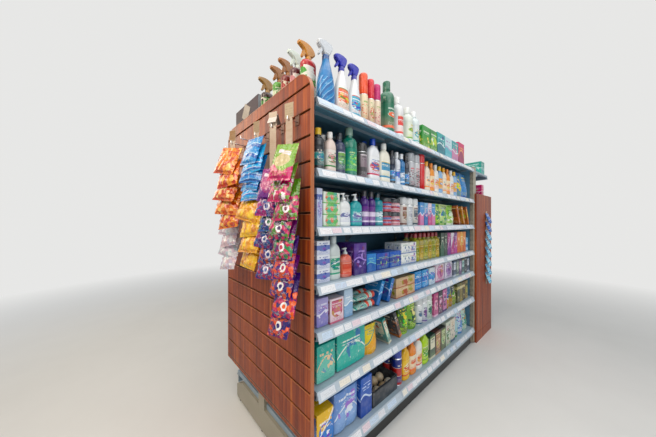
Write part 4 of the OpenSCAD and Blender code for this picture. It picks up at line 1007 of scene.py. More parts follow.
# The base deck, shelves 1 to 5 and the top shelf, from the slatwall end on
shelfGoods = readGoods("""
pack 1 110x90x176 1x1 slant f3c93a-3f8fd6-ffffff
pack:rolls 1 176x120x205 1x1 arch 86a8dc-9dbce6-eef3fb
carton 1 92x70x205 1x1 wave 3f74c4-2a5cb0-d9e6f7
space 1 256x0x0 1x1 plain
can 1 66x66x225 1x2 band 27408f-c9302f-e8e2d2-2b4fae
flask 1 84x52x235 1x1 disc f3cf3f-d94a2a-f7f0d8-f0b429-efc02c
flask 2 82x52x232 1x2 disc f6ead2-ef7f2c-d03a2a-f08a2c-f09a2e f3ece0-d8452c-f0b030-e8742c-f2f0ea
flask 1 92x56x238 1x2 panel c7e04a-7fae2c-f4f7d8-b9d93a-bfe03a
carton 3 92x70x178 1x1 panel 24523f-e6e2cc-7fae4a 6b4030-caa27c-e9dcc2 3c3f36-c9d2a8-8fae5a
carton 2 92x70x196 1x1 spots d9e0d0-5f8f4a-d05f7a e6dfd0-3f6f8a-c9a24a
pouch 3 108x70x236 1x1 spots b9d6de-5fae7a-d86a9a cfe0ea-6aa0d0-e08fb0 c9dfd6-4f9f8a-e0a04a

pack 1 118x90x178 1x1 arch 36b3a6-7fcabb-f1d2b0
pack 1 222x130x192 1x1 arch 2fb5a6-49c0b2-eef4ea
pouch 1 116x70x150 1x1 slant f4da3c-f0b42c-3f9a94
tilt 1 110x110x172 1x1 panel 3a9a94-e8e4d2-d87a3c
tilt 1 112x110x182 1x1 spots 3b3f45-d88a4c-e6ded0
pouch 2 104x70x190 1x2 spots 3f6a34-a8d04a-f2e04a 8fbc4b-2f5f34-f0e6a0
can 3 72x72x190 1x2 disc e9ecec-4f7a9a-2f4f6a-d9dcdc e4e8ea-7f6aa8-4a3f7a-e2e4e6
  dfe8e0-3f8f6a-2a5f4a-d8e0da
carton 3 76x60x180 1x2 burst c95a92-f1c9dc-7a2f5f 3a3f4a-d07ab0-efe4ea d884b4-5f3f7a-f6e6ee
pouch 3 70x60x186 1x1 wave 4b87c6-c9a24a-f2eedc 6a8fb4-b98f3c-2f3f4f 4f5f6a-9aa84a-e6e0c6
carton 4 62x60x172 1x2 stripes 7a7a3c-3f4a3a-d9cf9a 3f5a4a-b9a04a-e0d8b4 8a6f3a-2f3a34-e6d8a8
  5f6a4a-c9b06a-2f3428

pack 1 74x80x136 1x1 wave b9b2dc-9a94cc-eceaf6
carton 1 88x60x116 1x1 panel efe2e8-d8829a-b94a6a
pack 1 66x60x148 1x1 wave c6d9ea-9dbedd-f4f8fb
tube 1 178x48x48 2x2 stripes e2ede6-3fa89a-e0603c-d95a3a-dfeee8
lean 2 96x110x142 1x1 wave 4b9fd6-2f7fc0-cfe6f6 3f93cf-2a6fb4-d9ecf8
carton 1 230x90x62 2x1 spots d9bf9c-b9623c-efe0cc
pack 3 104x80x136 1x1 band 4fa8e0-2f86cc-e6f3fb 62b4e6-3b93d4-f0f8fd e9f0f4-5fb0e0-2f7fc0
pack 2 166x110x146 1x1 disc f1e0ea-d98fb6-a85a94 ece6f0-b48fc6-7a4f9a
carton 6 62x60x140 1x1 panel 31445f-d9dfe6-5f8fc0 5d6f7d-c9d2c0-2f3f4a 6a4f7a-e0cfe6-3f2f4f
  2f5f6a-b9d9d4-e6b04a 7a8288-2f3a44-e4e6e8

carton 1 78x70x63 3x2 band e9ecf3-7f8fc6-4a5fa8
flask:clear 1 74x50x206 1x2 panel e6f0ea-3fae8e-f3f6f2-d6dede-e3ebe8
pump:clear 1 76x46x146 1x1 panel f4927c-e8705c-f9d6cc-d6dcdc-f08a78
carton 1 98x60x164 1x2 wave 6a4a9c-4a2f84-b7a0dc
carton 1 82x60x100 1x1 wave 3a8fd0-1f6fb8-8fd0c8
carton 2 122x60x96 1x2 band 2f66bc-1f4fa0-b9d97a 3a72c4-24509c-d0e4a0
carton 2 92x60x70 2x2 spots f1f2ee-9aa8c9-5f8f7a eef0ec-7a94c0-c98fb0
bottle:clear 6 60x60x196 1x2 panel c6c24a-8f9a2c-f0ecc0-a8283a-b4b43a d2b83c-b08f24-f3e9b4-9c2434-bfae36
carton 2 62x60x190 1x1 arch 23483a-3f6f5a-d9dccb 2b3a34-4a5f52-b9c4b0
carton 3 66x60x186 1x1 slant b8358a-8f2f9c-f3d6e8 efe9ee-c03f8f-7f2f84 7a3f94-c95fa8-f0dcee
carton 3 66x60x188 1x1 arch f29a34-d97422-fbe6c2 f0b43f-e08328-fdf0cf
jar 1 96x96x128 1x1 disc c6dff0-5f9fcf-2f6faf-8fbfe0-b9d9ee

carton 1 32x60x172 1x2 stripes e6eaf2-a8b4d6-6a7ab4
carton 1 104x66x53 3x2 disc eaf1e6-7fc47a-e88f7a
pump 1 82x48x168 1x2 disc f4f5f4-6a78a8-e6e9f2-f6f7f7-f1f2f1
pump 1 86x50x170 1x2 disc 48b6b8-6f86b0-dfeef0-f3f6f6-3fb0b4
bottle 2 54x54x192 1x2 band 7a3f9a-e3d6ea-4a2470-2b2430-5a2f88
bottle 1 70x70x194 1x2 band 3fa9b4-dff0f0-1f6f8a-1f3f4a-2a9aa6
jar 2 92x92x84 2x1 band 6a86b8-c2455a-e8dfe2-27323c-b8485a e9cfd2-b83f54-6f8fc0-2a3540-d9a8b0
can 3 68x68x186 1x2 panel e9e6e0-8a5a4a-b98f7f-dfe1e2 eceeef-c9cdd2-9aa0a8-f2f3f3
  e6e2dc-5f6f7a-c0a08f-e9ebeb
carton 4 56x50x164 1x2 wave 5f9fd4-e08fb8-f4f6f8 8fc0e0-3f7fb8-f0c6d8 f0dce6-d0609a-5f9fd4
pouch 3 132x70x172 1x2 spots a9d23f-3f8f3a-f4f0a0 cfe09a-4f9f4a-3f7fc0 9ccb3a-f0f4e0-2f7f44
tilt 3 110x110x176 1x1 panel d9813a-9c4a24-f6dfae e0a03c-b06a24-fbeab8 c9702f-f0c060-7a3a1f

bottle 1 60x60x196 1x2 band 23303a-2fa8a4-e6e4d8-e6c437-2a3238
flask 1 62x46x192 1x2 disc f1e9e2-3f8f4a-e08f9a-f3f1ee-ecdcd4
bottle 1 68x68x208 1x2 panel 22406e-7fae5a-e9eef0-27313c-24365f
bottle:clear 1 86x86x258 1x1 spots 2fa58c-7fcf6a-d9f0b0-9fb9ac-2b9a83
can 1 74x74x196 1x2 panel 2a2c30-8f7f88-d9d2d6-1f2124
flask 1 102x56x240 1x2 burst f3f4f5-cf3f6a-3f7fc0-2f5fc0-f2f3f5
flask 1 100x56x236 1x2 panel f6f2e4-2f9ac0-e6c94a-f4f4ef-f3efe2
bottle 4 50x50x212 1x2 band 2d3f58-3f9fd0-e9eef2-1f242c-2a3448 e9edf2-3f8fcf-1f4f94-eef0f2-e6eaf0
  3f8fc0-e6eef4-1f4f84-f0f2f4-3a86b8
can 2 70x70x244 1x2 spots c9cbcf-5f6268-d9606a-b9bcc0 d4d4d6-6f6a70-c9505f-c6c8cc
can 1 66x66x262 1x2 plain d7262f-d7262f-d7262f-dc2a35
flask 8 70x48x222 1x2 burst f4ead8-f0a03c-3f9fb0-f0b84a-f2e6d4 f6e2c4-ec8a34-d9562c-ef9a3c-f0a850
  e9eef2-ec7f2c-c94f28-f4f4f2-f0eee8 f0b24a-6fa8d8-f7f2e6-f4c84a-9fc2e2
pouch 2 142x80x236 1x1 spots 3e87c4-e6d24a-5fae5a 4f9ad0-3f6fb4-f0e06a

space 1 22x0x0 1x1 plain
trigger:clear 1 100x62x312 1x1 streaks 3f9fd6-2478b8-b4dcf2-245c94-3a92cc-cdd1d6
trigger 1 92x58x294 1x1 panel f1efea-ec6f2c-5f8f3a-2531a6-efeff0-2331b4
trigger 1 84x56x288 1x1 panel eef2f4-43b2cc-d95f4a-2531a6-eceff1-2331b4
can:highCap 1 54x54x272 1x1 spots ecdcc0-ef6a2b-7fae5a-ee5f1c
can:highCap 1 50x50x262 1x1 spots eaddc4-cf3240-8fae6a-dc4a58
can:midCap 1 56x56x256 1x1 spots e8dac6-d9417f-9fae6a-cb3a84
space 1 46x0x0 1x1 plain
bottle 1 98x98x336 1x1 disc 0f7c5e-e8743c-dfe9e0-0d6e52-0d7658
space 1 4x0x0 1x1 plain
bottle 1 84x84x276 1x1 panel ebebea-e2402c-f3d6c0-f0f0ef-ededed
space 1 26x0x0 1x1 plain
bottle 2 84x84x246 1x1 disc e6ece0-7fb04a-e6c94a-eef0ec-e4eae2 e2eaea-5fb0b4-e6c95a-eceeef-dfe8e8
space 1 2x0x0 1x1 plain
carton 2 118x70x166 1x1 spots 3f9f4a-ecd83c-eef2e0 2f8f48-c9d84a-eef2e0
carton 3 140x90x178 1x1 wave 3fb0b0-1f8494-e6f4f2 cfe6ea-6fc0cc-b98fc4 3aa8ac-d998bc-e6f0f0
carton 2 142x80x200 1x1 arch d94a80-a8306c-f0c070 e8965a-d94a80-f6dcb4
""")
# The cross bay's deck and shelves
crossGoods = readGoods("""
pack 3 180x120x220 1x1 arch e0b23c-c98a2c-f6e6b0
carton 2 130x90x180 1x1 band 5b7fb5-dfe6f0-2f4f84

pouch 4 110x70x210 1x1 disc d8593c-f0c04a-f8ecd0 c9483a-e8e0c0-f0b43c
carton 3 120x80x190 1x1 arch 3a8a5a-dfe8c8-1f5f3f

jar 4 86x86x130 1x2 panel d9c9a0-8a4a2c-f3ead0-b33a3a-c9b88c
can 5 74x74x170 1x1 band b33a3a-efe0c0-d9a03c-c9ccd0 3f6fa8-efe6d0-d9603c-c9ccd0

carton 4 96x70x160 1x1 burst 7a5aa0-e6d0f0-f0c04a a85a8f-f3dce8-4a2f6a
bottle 5 72x72x220 1x1 band 4a9f8a-e6f0ea-1f5f50-e9ece9-4a9f8a

pack 1 150x90x150 1x1 wave e0508a-c93474-f6d3e2
carton 2 120x80x180 1x1 wave 5aa0d0-2f6fa8-e0eef8
bottle 5 70x70x206 1x1 disc e88fb0-f6dbe6-b04a7a-f3f0f2-e88fb0

carton 2 180x120x150 1x1 wave 2fa59a-4fbcb0-d3ebe6
carton 4 110x80x170 1x1 band d0a24a-7a4a2c-f4e6c0
""")
sprays = {
    "width": 84, "depth": 56, "height": 332, "rise": 4, "row": 4, "pitch": 90, "back": 10,
    "palettes": [
        "ece8da-57a83c-f4f0e6-d0a04a-c23c44-c9923a", "eee6e0-d9989c-f3ece8-e4ece6-6a2c34-dfe9e2",
        "e8e2d0-b94a3c-ece4cf-4f342a-8f3a2c-a8743a", "5fae4a-dfe9cc-4a9a3c-b07a34-6fae4a-a8763c",
        "e8e6d8-4f8f3c-e0dccb-4a2c28-4a3028-a07c3a"],
}


def addSpray(batch, k, y):            # the last spray stands on the back shelf
    w, d, h = sprays["width"], sprays["depth"], sprays["height"] + sprays["rise"] * k
    look = lookOf("blots", sprays["palettes"][k], 31 + k, h / w)
    at = moved(stock["margin"], y, levels[topShelf] + run["seat"])
    for part in gunParts(w, d, h, look, "sprayer"):
        batch.add(part, at, look)


# The level's own number times a hundred seeds its prints, and the back side adds fifty
halfTurn = spun(180, "Z")
frontY = -halfSpine - run["frontDepth"] + stock["back"]
backY = halfSpine + run["backDepth"] - stock["back"]
frontZone = stock["frontZone"] - stock["back"]


def stockFront(batch, k):
    stockRow(batch, shelfGoods[k], runLength, frontZone, freeHeight(run["steps"], k),
             moved(0, frontY, levels[k]), 100 * k)


def stockBack(batch, k):
    stockRow(batch, shelfGoods[k][::-1], runLength, stock["backZone"] - stock["back"],
             freeHeight(run["steps"], k), moved(runLength, backY, levels[k]) @ halfTurn, 100 * k + 50)


for k in range(topShelf):
    batch = Batch()
    stockFront(batch, k)
    batch.finish("shelfGoods%d" % k, ["shelf_%d_stock" % k if k else "base_deck_stock"],
                 "printed_goods")

batch = Batch()
stockFront(batch, topShelf)
for k in range(sprays["row"]):
    forward = sprays["back"] + (sprays["row"] - 1 - k) * sprays["pitch"] + sprays["depth"]
    addSpray(batch, k, -halfSpine - forward)
batch.finish("topShelfGoods", ["top_shelf_stock"], "printed_goods")

for name, node, shelves in (("backLowerGoods", "back_lower_stock", (0, 1, 2)),
                            ("backMiddleGoods", "back_middle_stock", (3, 4))):
    batch = Batch()
    for k in shelves:
        stockBack(batch, k)
    batch.finish(name, [node], "printed_goods")

batch = Batch()
acrossEnd = moved(crossX + cross["spineDepth"] / 2, crossPitch / 2, 0) @ spun(-90, "Z")
crossFront = cross["spineDepth"] / 2 + cross["depth"]
for k, entries in enumerate(crossGoods):
    at = acrossEnd @ moved(crossPitch, crossFront - stock["back"], crossLevels[k]) @ halfTurn
    stockRow(batch, entries, crossPitch, frontZone, freeHeight(cross["steps"], k), at, 900 + 10 * k)
batch.finish("crossBayGoods", ["cross_bay_stock"], "printed_goods")

# The brown case on the back top shelf has four flaps round it, a tape strip and a pale label
case = {"width": 300, "height": 266, "x": 22, "back": 84, "over": 96, "flap": 3.0, "play": 0.2,
        "tape": 48, "label": (104, 96), "tag": (181, 209, 32)}
batch = Batch()
stockBack(batch, 5)
addSpray(batch, sprays["row"], halfSpine + sprays["back"])
at = moved(case["x"], halfSpine + case["back"], levels[topShelf] + run["seat"])
brown = lookOf("plain", "44383e-54484e-6e6266")
pale = lookOf("plain", "8d97a0-9aa4ad-a9b2ba")
w, h, flap, play = case["width"], case["height"], case["flap"], case["play"]
d = run["backDepth"] - case["back"] + case["over"]
top, middle = h - flap, d / 2
tapeY = case["tape"] / 2
for low, high, edge, look in (
        ((flap, flap, 0), (w - flap, d - flap, top), 1.5, brown),
        ((0, 0, 0), (flap, d, top), 1.0, brown),
        ((w - flap, 0, 0), (w, d, top), 1.0, brown),
        ((flap + play, 0, 0), (w - flap - play, flap, top), 1.0, pale),
        ((flap + play, d - flap, 0), (w - flap - play, d, top), 1.0, brown),
        ((0, 0, top), (w, middle - 0.6, h), 0.8, brown),
        ((0, middle + 0.6, top), (w, d, h), 0.8, brown)):
    batch.add(chamfered(low, high, edge, "kraft"), at, look)
batch.add(chamfered((-0.4, middle - tapeY, h - 0.1), (w + 0.4, middle + tapeY, h + 0.3), 0.1, "cap"),
          at, lookOf("plain", "b99a6a"))
wide, tall = case["label"]
tagAcross, tagUp, tagTilt = case["tag"]
tag = chamfered((-0.9, -wide / 2, -tall / 2), (-0.4, wide / 2, tall / 2), 0.1, "paper")
batch.add(tag, at @ moved(0, tagAcross, tagUp) @ spun(tagTilt, "X"),
          lookOf("plain", "766556-766556-4c4846", 3.0))
batch.finish("backUpperGoods", ["back_upper_stock"], "printed_goods")


# The open tray: thin board walls with a folded rim, and netted rounds inside it

tray = {"size": (244, 150, 92), "wall": 4, "round": 58, "front": 4, "rim": (9, 1.2),
        "place": 3, "rows": 26, "columns": 40, "shades": ["e6d0b0", "ecdabd", "d9bc96", "f0e2cc"]}


def nettedRound(radius, seed):
    rows, columns = tray["rows"], tray["columns"]
    shift = random.Random(seed).uniform(0, 6)
    corners = [(0, 0, -0.95 * radius)]
    for j, i in product(range(1, rows), range(columns)):
        tilt = math.pi * j / rows
        turn = 2 * math.pi * i / columns
        ridge = math.sin(turn * 10 + 3 * math.cos(tilt * 2) + shift) * math.sin(tilt * 12 + shift)
        r = radius * (0.95 + 0.045 * ridge * math.sin(tilt))
        corners.append((r * math.sin(tilt) * math.cos(turn), r * math.sin(tilt) * math.sin(turn),
                        -r * math.cos(tilt)))
    corners.append((0, 0, 0.95 * radius))
    top = len(corners) - 1
    faces = [[1 + c for c in face] for face in bands(rows - 1, columns)]
    for i in range(columns):
        n = (i + 1) % columns
        faces += [[0, 1 + n, 1 + i], [top - columns + i, top - columns + n, top]]
    return np.array(corners), faces, bare(faces), "cap"


batch = Batch()
at = moved(entryStart(shelfGoods[0], tray["place"]) + tray["front"], frontY, levels[0] + run["seat"])
w, d, h = tray["size"]
t = tray["wall"]
rimTall, rimThick = tray["rim"]
slate, rim = lookOf("plain", "3e444c"), lookOf("plain", "565d66")
for low, high, edge, look in (
        ((0, 0, 0), (w, d, t), 0.8, slate), ((0, 0, t), (t, d, h), 0.8, slate),
        ((w - t, 0, t), (w, d, h), 0.8, slate), ((t, 0, t), (w - t, t, h), 0.8, slate),
        ((t, d - t, t), (w - t, d, h), 0.8, slate),
        ((0, 0, h - rimTall), (w, rimThick, h), 0.4, rim),
        ((0, d - rimThick, h - rimTall), (w, d, h), 0.4, rim)):
    batch.add(chamfered(low, high, edge, "board"), at, look)
for i, j in product(range(4), range(2)):
    centre = at @ moved(t + (i + 0.5) * (w - 2 * t) / 4, t + (j + 0.5) * (d - 2 * t) / 2,
                        t + run["seat"] + tray["round"] / 2)
    lean = Matrix.Rotation(0.7 * i + 0.4 * j, 4, "Y") @ Matrix.Rotation(0.5 * j + i, 4, "X")
    batch.add(nettedRound(tray["round"] / 2, 5 * i + j), centre @ lean,
              lookOf("plain", tray["shades"][(i + 2 * j) % 4]))
batch.finish("trayOfRounds", ["open_tray"], "tray_board")
print("goods, case and tray are in place")


# Ticket labels lie on the sloping face of each strip

ticket = {
    "out": 4.3, "slope": 16, "tall": 38, "low": 6, "label": 29, "lift": 0.5, "thick": 0.5,
    "below": 1.2, "start": (6, 26), "end": 10, "tilt": 1.2,
    "widths": [46, 58, 58, 70, 84], "gaps": [2, 3, 4, 8, 14, 30], "shorter": [0, 0, 3],
    "papers": (["e2e3e6", "d6dae0", "e6e0d2", "e0cdd4", "bfd0e2"], [8, 6, 2, 2, 3]),
    "marks": ["6f7378", "8a8d92", "a86a70", "5f6f8a"],
}


def ticketRow(batch, matrix, lip, level, length, seed):
    chance = random.Random(seed)
    slope = math.atan2(ticket["slope"], ticket["tall"])
    x = chance.uniform(*ticket["start"])
    while True:
        wide = chance.choice(ticket["widths"])
        if x + wide > length - ticket["end"]:
            break
        paper = chance.choices(*ticket["papers"])[0]
        mark = chance.choice(ticket["marks"])
        look = lookOf("plain", "-".join((paper, paper, mark)), chance.uniform(0, 9))
        tall = ticket["label"] - chance.choice(ticket["shorter"])
        tilt = chance.uniform(-ticket["tilt"], ticket["tilt"])
        at = (matrix @ moved(x, -lip - ticket["out"], level - ticket["below"])
              @ Matrix.Rotation(-slope, 4, "X") @ spun(tilt, "Y"))
        near, low = -ticket["lift"], -ticket["low"]
        card = chamfered((0, near - ticket["thick"], low - tall), (wide, near, low), 0.12, "paper")
        batch.add(card, at, look)
        x += wide + chance.choice(ticket["gaps"])


for side in ("front", "other"):
    batch = Batch()
    for bay, k in product(range(run["bays"]), range(len(levels))):
        if side == "front":
            ticketRow(batch, moved(bay * run["bayPitch"], 0, 0), halfSpine + run["frontDepth"],
                      levels[k], run["bayPitch"], 11 * k + 3 * bay + 1)
        else:
            ticketRow(batch, moved((bay + 1) * run["bayPitch"], 0, 0) @ halfTurn,
                      halfSpine + run["backDepth"], levels[k], run["bayPitch"],
                      13 * k + 5 * bay + 90)
    for k in range(len(crossLevels) if side == "other" else 0):
        ticketRow(batch, acrossEnd @ moved(crossPitch, 0, 0) @ halfTurn, crossFront, crossLevels[k],
                  crossPitch, 17 * k + 200)
    batch.finish(side + "TicketLabels", [], "strip_plastic")
print("ticket labels are on the strips")


# Hanging packs. Two flat films are sealed round their edges and blown up, so the seams pucker

# each strip's y, groove, reach from the panel and turn
strips = [[-394, 1, 52, 22], [-270, 1, 62, 26], [-120, 1, 74, 14], [82, 1, 122, 24],
          [175, 3, 78, 16]]
hanging = {
    "hookDrop": 28, "hook": 5, "clip": 1.2, "tilt": 20, "thick": 20, "puff": 2.1, "off": 0.5,
    "sway": (3.5, 9.0), "shift": (6.0, 5.0), "overlap": 0.14,
    # each group's strip, drop, number of packs, width, height, pitch and roll
    "groups": {
        "green": (0, 104, 9, 108, 186, 80, 5), "purple": (1, 196, 6, 104, 165, 70, 5),
        "blue": (2, 8, 5, 150, 150, 48, 7), "yellow": (2, 288, 4, 150, 165, 78, 9),
        "orange": (3, 30, 5, 150, 164, 74, 9), "white": (4, 165, 4, 150, 150, 66, 10)},
    # design and palette of the packs from the top down
    "palettes": {
        "green": [
            "window 8db34a-cf2f78-cdbf96--e9e2ea", "splash 7f9f45-cf2f78-f1ecec--8a1f5a",
            "medal 6f9a3c-c92a70-f3eef0--7a1f52", "medal 5f8f3c-c92a70-f3eef0--4a2360",
            "medal 7a2874-3f8f5a-f3eef0--c9305f", "medal 5a2684-e8692c-f6f1ee--b02a6a",
            "medal 7a2482-e2703a-f6f1ee--3a2278", "medal 4a2478-c9306a-f6f1ee--e8733a",
            "medal 8a2468-e8692c-f6f1ee--3a2278"],
        "purple": [
            "window a42a8a-7a2f94-c9709c--efe9f0", "medal 6a2a7c-b03284-e9e3ec--34529c",
            "medal 4a2a74-3f6aa8-e9e3ec--3f7f5a", "medal 5a2680-a03078-e9e3ec--34609c",
            "medal 6a2474-c9693a-e9e3ec--34529c", "medal 4a2478-b8366a-e9e3ec--34529c"],
        # the blue packs' deep blue bands are painted shade and their pale lines painted highlights on
        # the folds
        "blue": [
            "folds 3ea2de-1a6cbc-bfe2f4--e8b8c0", "folds 5abcec-2480cc-f0dfe2--e8b8c0",
            "folds 2f94d8-1560ac-a9d8f0--e8b8c0"],
        # the yellow and orange packs' darker and paler patches are partly print and partly painted
        # shade and highlights of their crumples
        "yellow": ["splash f7c222-e8a212-fbdc6a--f3b41c", "splash f2b61a-fbcf38-d98f10--f7c22a"],
        "orange": [
            "splash e8993f-cf5a24-f3cf86--ef9a3e", "splash e0803a-c94826-f0c878--efa648",
            "splash ec9f48-c9501f-f3d49a--d9742c"],
        "white": ["splash efeaec-e0cfd9-fbfaf9--cfdce0", "splash ebe6e8-e6ccd2-fbfaf9--d8cfe0"]},
}
film = {
    "across": 28, "up": 36, "frames": 22, "swollen": 17, "slack": 8, "pucker": 1.6, "crumple": 3.0,
    "cloth": {
        "quality": 6, "mass": 0.06, "tension_stiffness": 60, "compression_stiffness": 60,
        "shear_stiffness": 30, "bending_stiffness": 0.06, "air_damping": 2.0, "use_pressure": True,
        "uniform_pressure_force": 4.0, "vertex_group_pressure": "filled",
        "vertex_group_mass": "hem"},
}


def ridges(points, seed, size):       # sharp-edged waves in several directions, for crumpled film
    chance = random.Random(seed)
    total = np.zeros(len(points))
    for wave in range(5):
        turn = chance.uniform(0, math.pi)
        way = np.array([math.cos(turn), 0.0, math.sin(turn)]) * math.pi / size * (1 + 0.5 * wave)
        total += (1 - 2 * np.abs(np.sin(points @ way + chance.uniform(0, 6.3)))) / (1 + wave)
    return total / 2.3


def blownUp(piece, row, up):          # pressure fills the film, less towards its held upper hem
    size = row * (up + 1)
    held = [n for n in range(2 * size) if n % size >= size - row]
    piece.vertex_groups.new(name="hem").add(held, 1.0, "ADD")
    filled = piece.vertex_groups.new(name="filled")
    for n in range(2 * size):
        filled.add([n], 1.0 - 0.55 * (n % size // row / up), "ADD")
    cloth = piece.modifiers.new("blownFilm", "CLOTH")
    for key, value in film["cloth"].items():
        setattr(cloth.settings, key, value)
    cloth.collision_settings.use_collision = False
    cloth.point_cache.frame_start = 1
    cloth.point_cache.frame_end = film["frames"]
    for step in range(film["frames"]):
        bpy.context.scene.frame_set(step + 1)
    ready = piece.evaluated_get(bpy.context.evaluated_depsgraph_get())
    corners = np.array([p.co for p in ready.data.vertices]) / metre
    bpy.context.scene.frame_set(1)
    return corners


def filledPack(name, w, h, seed):     # one sealed pack, w wide and h tall, as shares of its box
    across, up = film["across"], film["up"]
    chance = random.Random(seed)
    corners, faces, maps, key = sheetPair(w, h, across, up, lambda u, v: 0.6)
    u = np.clip((corners[:, 0] / w - 0.035) / 0.93, 0, 1)
    v = np.clip((corners[:, 2] / h - 0.06) / 0.88, 0, 1)
    belly = np.sin(math.pi * u) ** 0.55 * np.sin(math.pi * v ** 0.58) ** 0.7
    sides = np.exp(-np.minimum(u, 1 - u) / 0.1) * np.sin(math.pi * v)
    ends = np.exp(-np.minimum(v, 1 - v) / 0.1) * np.sin(math.pi * u)
    pucker = (sides * np.sin(v * 46 + chance.uniform(0, 6) + 3 * np.sin(v * 9))
              + ends * np.sin(u * 40 + chance.uniform(0, 6) + 3 * np.sin(u * 8)))
    crumple = ridges(corners, seed + 7, 42.0) * belly
    swell = film["slack"]
    corners[:, 1] += (np.sign(corners[:, 1]) * belly * swell + pucker * film["pucker"]
                      + crumple * film["crumple"])
    mesh = meshed(name, (corners * metre).tolist(), faces)
    piece = linked(name, mesh)
    corners = blownUp(piece, across + 1, up)
    bpy.data.objects.remove(piece)
    bpy.data.meshes.remove(mesh)
    low, high = corners.min(0), corners.max(0)
    return (corners - low) / (high - low) - (0, 0.5, 0), faces, maps


packShapes = [filledPack("filmTrial%d" % n, 112 + 12 * n, 172 - 8 * n, 4 + n) for n in range(4)]
print("film packs are blown up")


def hangingPack(w, h, t, shape, turnOver, shown):
    # the pack hangs from the origin, its width along y and its front to -x; shown is the share
    # of its height that the pack above leaves free, and its print keeps to that; the sealed
    # ends are flat, with fine ribs
    share, faces, maps = packShapes[shape]
    crimp = np.clip((np.abs(share[:, 2] - 0.5) - 0.455) / 0.03, 0, 1)
    x = share[:, 1] * t * (1 - 0.8 * crimp) + 0.35 * crimp * np.sin(share[:, 0] * 130)
    y = (share[:, 0] - 0.5) * w * 0.985
    z = (share[:, 2] - 1.0) * h
    side = -1 if turnOver else 1
    # seen from -x the left edge is at +y, so the map runs the other way
    fitted = [[(u if turnOver else 1 - u, v / shown) for u, v in points] for points in maps]
    return np.stack([x * side, y * side, z], 1), faces, fitted, "film"


def hookPlace(strip):
    y, groove, reach, turn = strips[strip]
    x = faceX - run["seat"] - reach + hanging["hook"] * 1.5
    return moved(x, y, grooveZ(groove) - hanging["hookDrop"]) @ spun(turn, "Z")


for name, (strip, drop, packs, w, h, pitch, roll) in hanging["groups"].items():
    batch = Batch()
    chance = random.Random(strip * 10 + drop)
    tilt = math.radians(hanging["tilt"])
    thick = min(hanging["thick"], pitch * math.sin(tilt) - 2)
    palettes = hanging["palettes"][name]
    for k in range(packs):
        sway = [math.radians(chance.uniform(-span, span)) for span in hanging["sway"]]
        aside, down = [chance.uniform(-span, span) for span in hanging["shift"]]
        at = (hookPlace(strip)
              @ moved(-hanging["clip"] / 2 - run["seat"] - hanging["off"], aside,
                      down - drop - k * pitch)
              @ Matrix.Rotation(tilt + sway[0], 4, "Y") @ Matrix.Rotation(sway[1], 4, "Z")
              @ spun(roll * math.sin(math.radians(137 * k + 40 * strip)), "X"))
        shown = 1.0 if k == 0 else min(1.0, pitch / h + hanging["overlap"])
        look = lookOf(*palettes[k % len(palettes)].split(), 3 + k, h * shown / w)
        pack = hangingPack(w, h, thick * hanging["puff"], (k + strip) % 4, k % 2 == 1, shown)
        batch.add(pack, at, look)
    piece = batch.finish(name + "FilmPacks", [name + "_bags"], name + "_film")

# A header card on each clip strip, above the hook; one is folded and stands open over it, its far wing
# in a dark paper that is painted shade
header = {"width": 43, "low": 14, "high": 71, "lift": 1.0, "thick": 0.5,
          "papers": {0: "ab9678-ab9678-7c6450", 2: "a08664-a08664-745f4a", 3: "9c7850-9c7850-6a4e34",
                     4: "a39580-a39580-736a5c"}}
# both wings are the same pale paper; the second wing's dark paper is painted shade
tent = {"strip": 1, "ridge": (6, 0, 62), "width": 46, "tall": 48,
        "litAndShadedWings": {24: "d6cdc5-d6cdc5-a89e96", -35: "62504c-62504c-54433f"}}
batch = Batch()
half = tent["width"] / 2
for turn, palette in tent["litAndShadedWings"].items():
    batch.add(chamfered((0, -half, -tent["tall"]), (header["thick"], half, 0), 0.1, "paper"),
              hookPlace(tent["strip"]) @ moved(*tent["ridge"]) @ spun(turn, "Y"),
              lookOf("plain", palette, 7.0))
half = header["width"] / 2
front = -hanging["clip"] / 2 - header["lift"]
for strip, palette in header["papers"].items():
    card = chamfered((front, -half, header["low"]), (front + header["thick"], half, header["high"]),
                     0.1, "paper")
    batch.add(card, hookPlace(strip), lookOf("plain", palette, 2.0 + strip))
batch.finish("stripHeaderCards", [], "clip_plastic")

# the side packs use the fold design, whose dark bands are painted shade and pale lines painted
# highlights
sideStrip = {
    "place": 0.64, "z": 1330, "drop": 20, "pitch": 92, "size": (96, 118), "thick": 28,
    "palettes": ["3f7cc8-2f62b4-d6e6f4"] * 2 + ["8fcfea-5fb0dc-e6f4fa", "a4d8ec-6abce0-f0f8fb"] * 3}
batch = Batch()
sideX = crossX + cross["spineDepth"] + sideStrip["place"] * cross["depth"]
sideY = -crossPitch / 2 - run["uprightWidth"] / 2 - 2 * run["seat"] - cross["panelThickness"]
w, h = sideStrip["size"]
for k, palette in enumerate(sideStrip["palettes"]):
    at = (moved(sideX, sideY - hanging["clip"] - run["seat"] - hanging["off"],
                sideStrip["z"] - sideStrip["drop"] - k * sideStrip["pitch"])
          @ spun(90, "Z") @ spun(hanging["tilt"], "Y"))
    batch.add(hangingPack(w, h, sideStrip["thick"], k % 4, False, 1.0), at,
              lookOf("folds", palette, 20 + k, h / w))
piece = batch.finish("sidePanelFilmPacks", ["cross_bay_side_packs"], "pale_blue_film")
print("hanging packs are in place")


# Stage, light and camera

